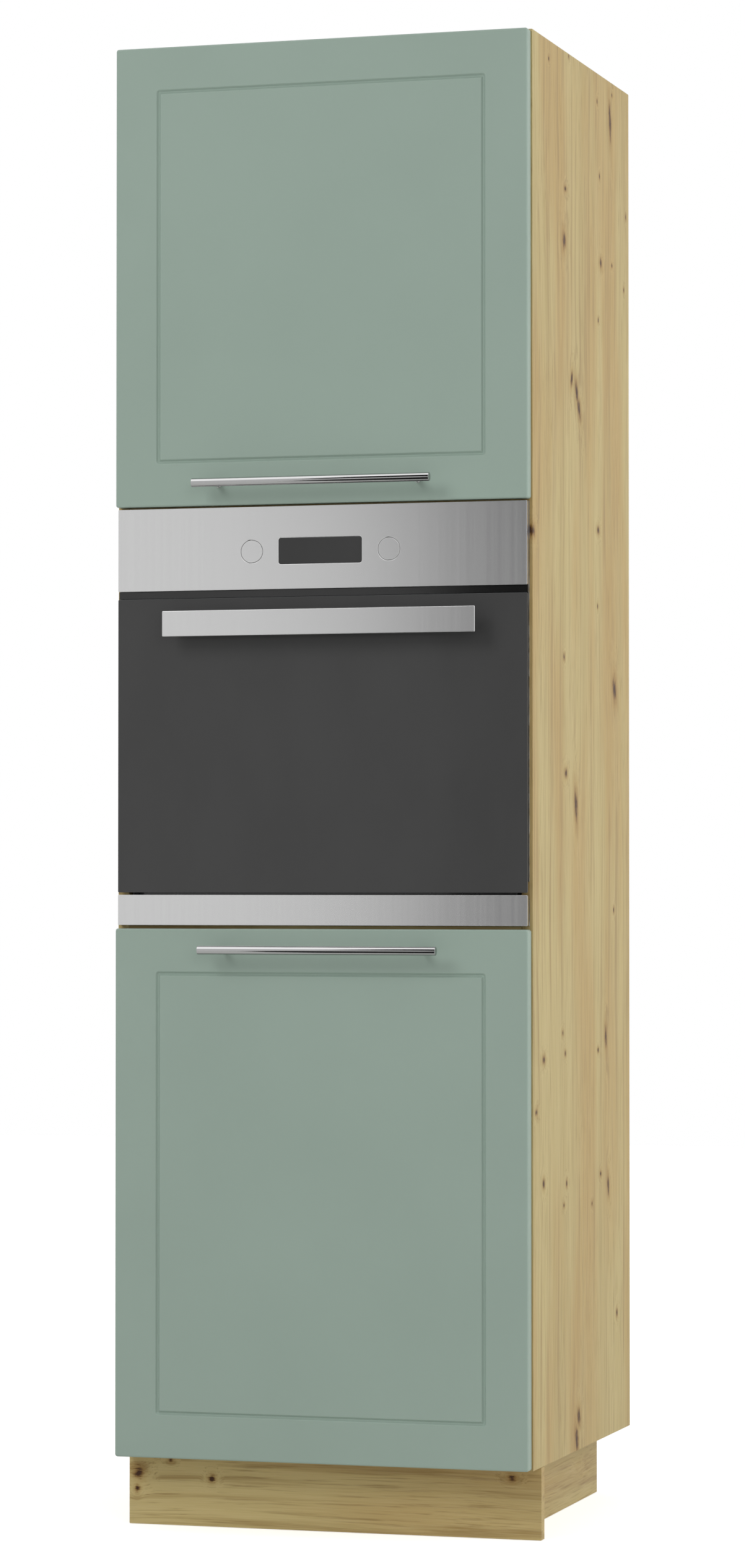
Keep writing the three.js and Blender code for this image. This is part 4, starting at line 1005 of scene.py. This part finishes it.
class BuildOvenDoor(bpy.types.Operator):
    """The oven door: dark front glass, pan, inner glass, flat bar handle and hinges."""
    bl_idname = "oven_unit.oven_door"
    bl_label = "Oven door"

    def execute(self, context):
        sizes, leaf = user().oven, "oven_door_leaf"
        zinc = finish_of("zinc_plate")
        lo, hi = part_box("oven_door_glass")
        glass = shape("oven_door_pane", plate, lo, hi, sizes.edge, 1.5 * MM, 4)
        finish(glass, finish_of("dark_glass"), leaf, "dark_glass", "oven_door_glass")
        dress("oven_door_frame", finish_of("galvanised_sheet", "painted"), 0.6 * MM)
        lo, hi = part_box("oven_inner_glass")
        inner = shape("oven_inner_pane", plate, lo, hi, 0.7 * MM, 5 * MM, 3)
        finish(inner, finish_of("clear_glass"), leaf, "clear_glass", "oven_inner_glass")
        for side in ("left", "right"):
            dress(f"oven_hinge_{side}", zinc, 0.3 * MM)

        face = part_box("oven_door_frame")[1].y
        small("oven_door_screws", "oven_door_screw", [
            (x * MM, face, z * MM) for x in (-268, 268) for z in (1000, 1110, 1220)], Y, 1, leaf)
        half, proud, sunk = (v * MM for v in (8, 0.8, 1.4))
        places = [(x * MM, z * MM) for x in (-236, 236) for z in (965, 1218)]
        for k, (x, z) in enumerate(places, 1):
            clip = shape(f"inner_pane_clip_{k}", block, (x - half, face - sunk, z - half),
                         (x + half, face + proud, z + half), 0.4 * MM)
            finish(clip, zinc, leaf, "zinc_plate")

        lo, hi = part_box("oven_handle")
        thick, leg_inset, leg_width, leg_height = (v * MM for v in (6, 42, 16, 22))
        bar = shape(
            "oven_handle_bar", plate, lo, (hi.x, lo.y + thick, hi.z), 0.9 * MM, 1.4 * MM, 3)
        middle = (lo.z + hi.z) / 2
        legs = [
            shape("leg", block, (x - leg_width / 2, lo.y + thick / 2, middle - leg_height / 2),
                  (x + leg_width / 2, hi.y, middle + leg_height / 2), 1.2 * MM, 3)
            for x in (lo.x + leg_inset, hi.x - leg_inset)]
        combine(bar, "UNION", *legs)
        finish(bar, finish_of("brushed_steel"), leaf, "brushed_steel", "oven_handle")
        return {"FINISHED"}


class BuildOvenBody(bpy.types.Operator):
    """The oven's casing, cavity and seal, and the cover of its mains terminals."""
    bl_idname = "oven_unit.oven_body"
    bl_label = "Oven body"

    def execute(self, context):
        dress("oven_casing", finish_of("galvanised_sheet"), 0.5 * MM)
        dress("oven_cavity", finish_of("dark_enamel"), 0.8 * MM)
        dress("oven_door_seal", finish_of("fibre_seal"), 1.2 * MM)
        dress("terminal_cover", finish_of("black_plastic"), 1 * MM)

        # beads stamped in the back, and the screws round it
        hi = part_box("oven_casing")[1]
        radius, proud, reach = (v * MM for v in (4, 1.5, 225))
        for k, z in enumerate((905, 995, 1085), 1):
            bead = shape(f"casing_bead_{k}", pin, (0, hi.y + proud - radius, z * MM), X,
                         -reach, reach, radius, 0.97 * radius, 24)
            finish(bead, finish_of("galvanised_sheet"), "carcass", "galvanised_sheet")
        rows = (862, 996, 1130, 1264, 1398)
        seats = [(side * (hi.x - 12 * MM), hi.y, z * MM) for side in (-1, 1) for z in rows]
        seats += [(x * MM, hi.y, z * MM) for x in (-142, 0, 142) for z in (rows[0], rows[-1])]
        small("casing_screws", "casing_screw", seats, Y, 1)

        lo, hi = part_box("terminal_cover")
        inset, gland_x, gland_y = (v * MM for v in (9, 190, 297.6))
        small("terminal_cover_screws", "terminal_screw", [
            (x, hi.y, hi.z - inset) for x in (lo.x + inset, hi.x - inset)], Y, 1)
        nut = shape("gland_nut", hexagon, (gland_x, gland_y, 0), Z, lo.z + 5.5 * MM,
                    lo.z + 11 * MM, 7.1 * MM, 6.4 * MM)
        finish(nut, finish_of("black_plastic"), "carcass", "black_plastic")
        return {"FINISHED"}


class BuildOvenFittings(bpy.types.Operator):
    """The racks, wire shelf, grill, fan and lamp in the cavity."""
    bl_idname = "oven_unit.oven_fittings"
    bl_label = "Oven fittings"

    def execute(self, context):
        wire_finish, zinc = finish_of("chrome_wire"), finish_of("zinc_plate")
        for node in ("side_rack_left", "side_rack_right", "wire_shelf"):
            dress(node, wire_finish)
        self.wind_grill(wire_finish)
        dress("fan", finish_of("galvanised_sheet"), 0.2 * MM)
        dress("fan_cover", finish_of("dark_enamel"), 0.4 * MM)
        lo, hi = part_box("fan_cover")
        inset = 12 * MM
        small("fan_cover_screws", "fan_cover_screw", [
            (x, lo.y, z) for x in (lo.x + inset, hi.x - inset)
            for z in (lo.z + inset, hi.z - inset)], Y, -1)
        lo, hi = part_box("fan")
        nut = shape("fan_nut", hexagon, (lo + hi) / 2, Y, lo.y - 3.4 * MM, lo.y,
                    5.5 * MM, 2.6 * MM)
        finish(nut, zinc, "fan_wheel", "zinc_plate")
        self.press_lamp(wire_finish)
        return {"FINISHED"}

    def wind_grill(self, material):
        """The grill element winds to and fro under the roof in round turns."""
        lo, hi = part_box("grill_element")
        radius, back, turns, steps = (hi.z - lo.z) / 2, 119.7 * MM, 5, 12
        turn = (hi.x - lo.x - 2 * radius) / (2 * turns)
        z, left = lo.z + radius, lo.x + radius
        path = [Vector((left, hi.y, z))]
        for k in range(turns):
            x, way = left + turn * (2 * k + 1), 1 if k % 2 else -1
            y = back - radius - turn if k % 2 else lo.y + radius + turn
            path += [Vector((x - turn * math.cos(t), y + way * turn * math.sin(t), z))
                     for t in (math.pi * step / steps for step in range(steps + 1))]
        path.append(Vector((hi.x - radius, hi.y, z)))
        element = shape("grill_heating_rod", wire, path, radius)
        finish(element, material, "carcass", "chrome_wire", "grill_element")

    def press_lamp(self, material):
        """The lamp's cover is pressed in rings and sits in a metal bezel."""
        lo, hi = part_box("oven_lamp")
        foot = ((lo.x + hi.x) / 2, 0, (lo.z + hi.z) / 2)
        rings, first, last, dome, ridge = 10, 2, 16, 6, 0.5
        profile = []
        for k in range(rings + 1):
            reach = first + (last - first) * k / rings
            rise = ridge * (k % 2) + dome * (reach / last) ** 2
            profile.append((lo.y + rise * MM, reach * MM))
        shoulder, stem = lo.y + 18 * MM, 11.9 * MM
        profile += [(shoulder, 17 * MM), (shoulder, stem), (hi.y, stem)]
        cover = shape("lamp_cover", turned, foot, Y, profile, 48)
        finish(cover, finish_of("lamp_glass"), "carcass", "lamp_glass", "oven_lamp")
        rim = [(shoulder - back * MM, radius * MM) for back, radius in (
            (9, 16.4), (9.6, 18), (9, 19.4), (0.3, 20), (0, 19.6))]
        bezel = shape("lamp_bezel", turned, foot, Y, rim, 48)
        finish(bezel, material, "carcass", "chrome_wire")


# ------------------------------------------------------------------ studio
def area_light(name, where, target, width, height, power):
    """A soft rectangular light that looks at a target."""
    data = bpy.data.lights.new(name, "AREA")
    data.shape, data.size, data.size_y, data.energy = "RECTANGLE", width, height, power
    light = bpy.data.objects.new(name, data)
    light.location = where
    light.rotation_euler = (Vector(target) - Vector(where)).to_track_quat("-Z", "Y").to_euler()
    bpy.context.scene.collection.objects.link(light)
    light.visible_camera = light.visible_glossy = False


# Outlines of two dark flags that only reflections show: one stands 5 m in front of the unit, the
# other lies on the floor before it.
FLAG_STANDING = (
    (-0.65, 0.0), (-0.65, 6.8), (-2.1, 6.8), (-2.0, 6.0), (-1.74, 4.0), (-1.61, 2.65),
    (-1.62, 2.14), (-1.25, 2.1), (-1.25, 0.0))
FLAG_LYING = (
    (-0.65, -5.2), (0.0, -0.8), (-0.28, -0.8), (-0.42, -1.06), (-0.6, -1.62), (-0.78, -2.19),
    (-1.61, -5.2))


class BuildStudio(bpy.types.Operator):
    """Floor, soft lights, white surroundings and the camera of the picture."""
    bl_idname = "oven_unit.studio"
    bl_label = "Studio"

    def execute(self, context):
        scene = bpy.context.scene
        settings = user().studio
        floor_top, reach, bottom, gap = CAD_BOX[0].z, 9, -0.02, 0.0005
        floor = shape("studio_floor", skin, [
            [Vector((x, y, z)) for x, y in (
                (-reach, -reach), (reach, -reach), (reach, reach), (-reach, reach))]
            for z in (bottom, floor_top - gap)])
        material, tree, shader, _ = new_finish(
            "floor_painted_matt", settings.floor, 0.9, Emission_Color=(1, 1, 1, 1))
        # the picture shows a white floor, and metal sees one too
        path = add(tree, "LightPath").node.outputs
        mirrored = add(tree, "Math", {0: path["Is Glossy Ray"], 1: 0.26}, operation="MULTIPLY")
        glow = add(tree, "Math", {0: path["Is Camera Ray"], 1: 0.6, 2: mirrored},
                   operation="MULTIPLY_ADD")
        vary(tree, shader, Emission_Strength=glow)
        floor.data.materials.append(material)

        world = bpy.data.worlds.new("white_surroundings")
        scene.world = world
        world.use_nodes = True
        tree = world.node_tree
        path = add(tree, "LightPath").node.outputs
        seen = add(tree, "Math", {
            0: path["Is Camera Ray"], 1: path["Is Transmission Ray"]}, operation="MAXIMUM")
        strength = add(tree, "Mix", {0: seen, 2: settings.sky, 3: 1.0})
        # metal sees white all round and a brighter ceiling, which lights its upper edges
        height = add(tree, "SeparateXYZ", {0: add(tree, "TexCoord", out="Generated")}, Z)
        ceiling = add(tree, "MapRange", {0: height, 1: 0.5, 2: 0.62, 3: 1.0, 4: 2.0}, **SMOOTH)
        strength = add(tree, "Mix", {0: path["Is Glossy Ray"], 2: strength, 3: ceiling})
        background = tree.nodes["Background"]
        background.inputs["Color"].default_value = (1, 1, 1, 1)
        tree.links.new(strength, background.inputs["Strength"])

        # two dark flags at the left in front give the steel its gradient and the chrome its band
        felt = new_finish("flag_black_felt", "#0a0a0a", 1.0)[0]
        for name, outlines in (
                ("studio_flag_standing", [
                    [Vector((x, y, z)) for x, z in FLAG_STANDING] for y in (-5.30, -5.26)]),
                ("studio_flag_lying", [
                    [Vector((x, y, z)) for x, y in FLAG_LYING]
                    for z in (floor_top, floor_top + 0.001)])):
            flag = shape(name, skin, outlines)
            flag.data.materials.append(felt)
            flag.visible_camera = flag.visible_diffuse = flag.visible_shadow = False
            flag.visible_transmission = False

        area_light("side_light", (4.6, 0.5, 2.0), (0.3, 0.0, 1.1), 2.4, 3.4, settings.key_power)
        area_light(
            "front_light", (-2.4, -5.4, 4.3), (0, -0.3, 1.2), 2.6, 2.6, settings.fill_power)
        area_light(
            "camera_light", (3.0, -6.2, 2.4), (0.1, -0.1, 1.1), 3.0, 3.0, settings.camera_power)

        camera = bpy.data.cameras.new("picture_camera")
        camera.lens, camera.sensor_width, camera.sensor_fit = 106.07, 36, "AUTO"
        view = bpy.data.objects.new("picture_camera", camera)
        view.location = (1.9132, -6.3454, 0.9057)
        view.rotation_euler = (math.radians(91.1804), 0, math.radians(16.810))
        scene.collection.objects.link(view)
        scene.camera = view
        scene.view_settings.view_transform = "Standard"
        return {"FINISHED"}


# ------------------------------------------------------------------ add-on
STEPS = (
    BuildBoards, BuildPlinth, BuildCabinetDoors, BuildBarHandles, BuildHinges, BuildOvenControls,
    BuildOvenTrim, BuildOvenDoor, BuildOvenBody, BuildOvenFittings, BuildStudio)


class OvenUnitPanel(bpy.types.Panel):
    """The unit's sizes, colours and building steps."""
    bl_idname = "OVENUNIT_PT_steps"
    bl_label = "Tall Oven Housing Unit"
    bl_space_type = "VIEW_3D"
    bl_region_type = "UI"
    bl_category = "Oven Unit"

    def draw(self, context):
        for group in ("boards", "doors", "oven", "studio"):
            box = self.layout.box()
            box.label(text=group.capitalize())
            settings = getattr(context.scene.oven_unit, group)
            for name in settings.__annotations__:
                box.prop(settings, name)
        for operator in STEPS:
            self.layout.operator(operator.bl_idname)


CLASSES = (
    BoardSettings, DoorSettings, OvenSettings, StudioSettings, UnitSettings, *STEPS, OvenUnitPanel)


def register():
    """Adds the settings, the steps and the panel."""
    for entry in CLASSES:
        bpy.utils.register_class(entry)
    bpy.types.Scene.oven_unit = PointerProperty(type=UnitSettings)


def unregister():
    """Takes the settings, the steps and the panel away."""
    del bpy.types.Scene.oven_unit
    for entry in reversed(CLASSES):
        bpy.utils.unregister_class(entry)


def main():
    """Builds the unit and its studio."""
    register()
    for operator in STEPS:
        group, name = operator.bl_idname.split(".")
        getattr(getattr(bpy.ops, group), name)()


if __name__ == "__main__":
    main()
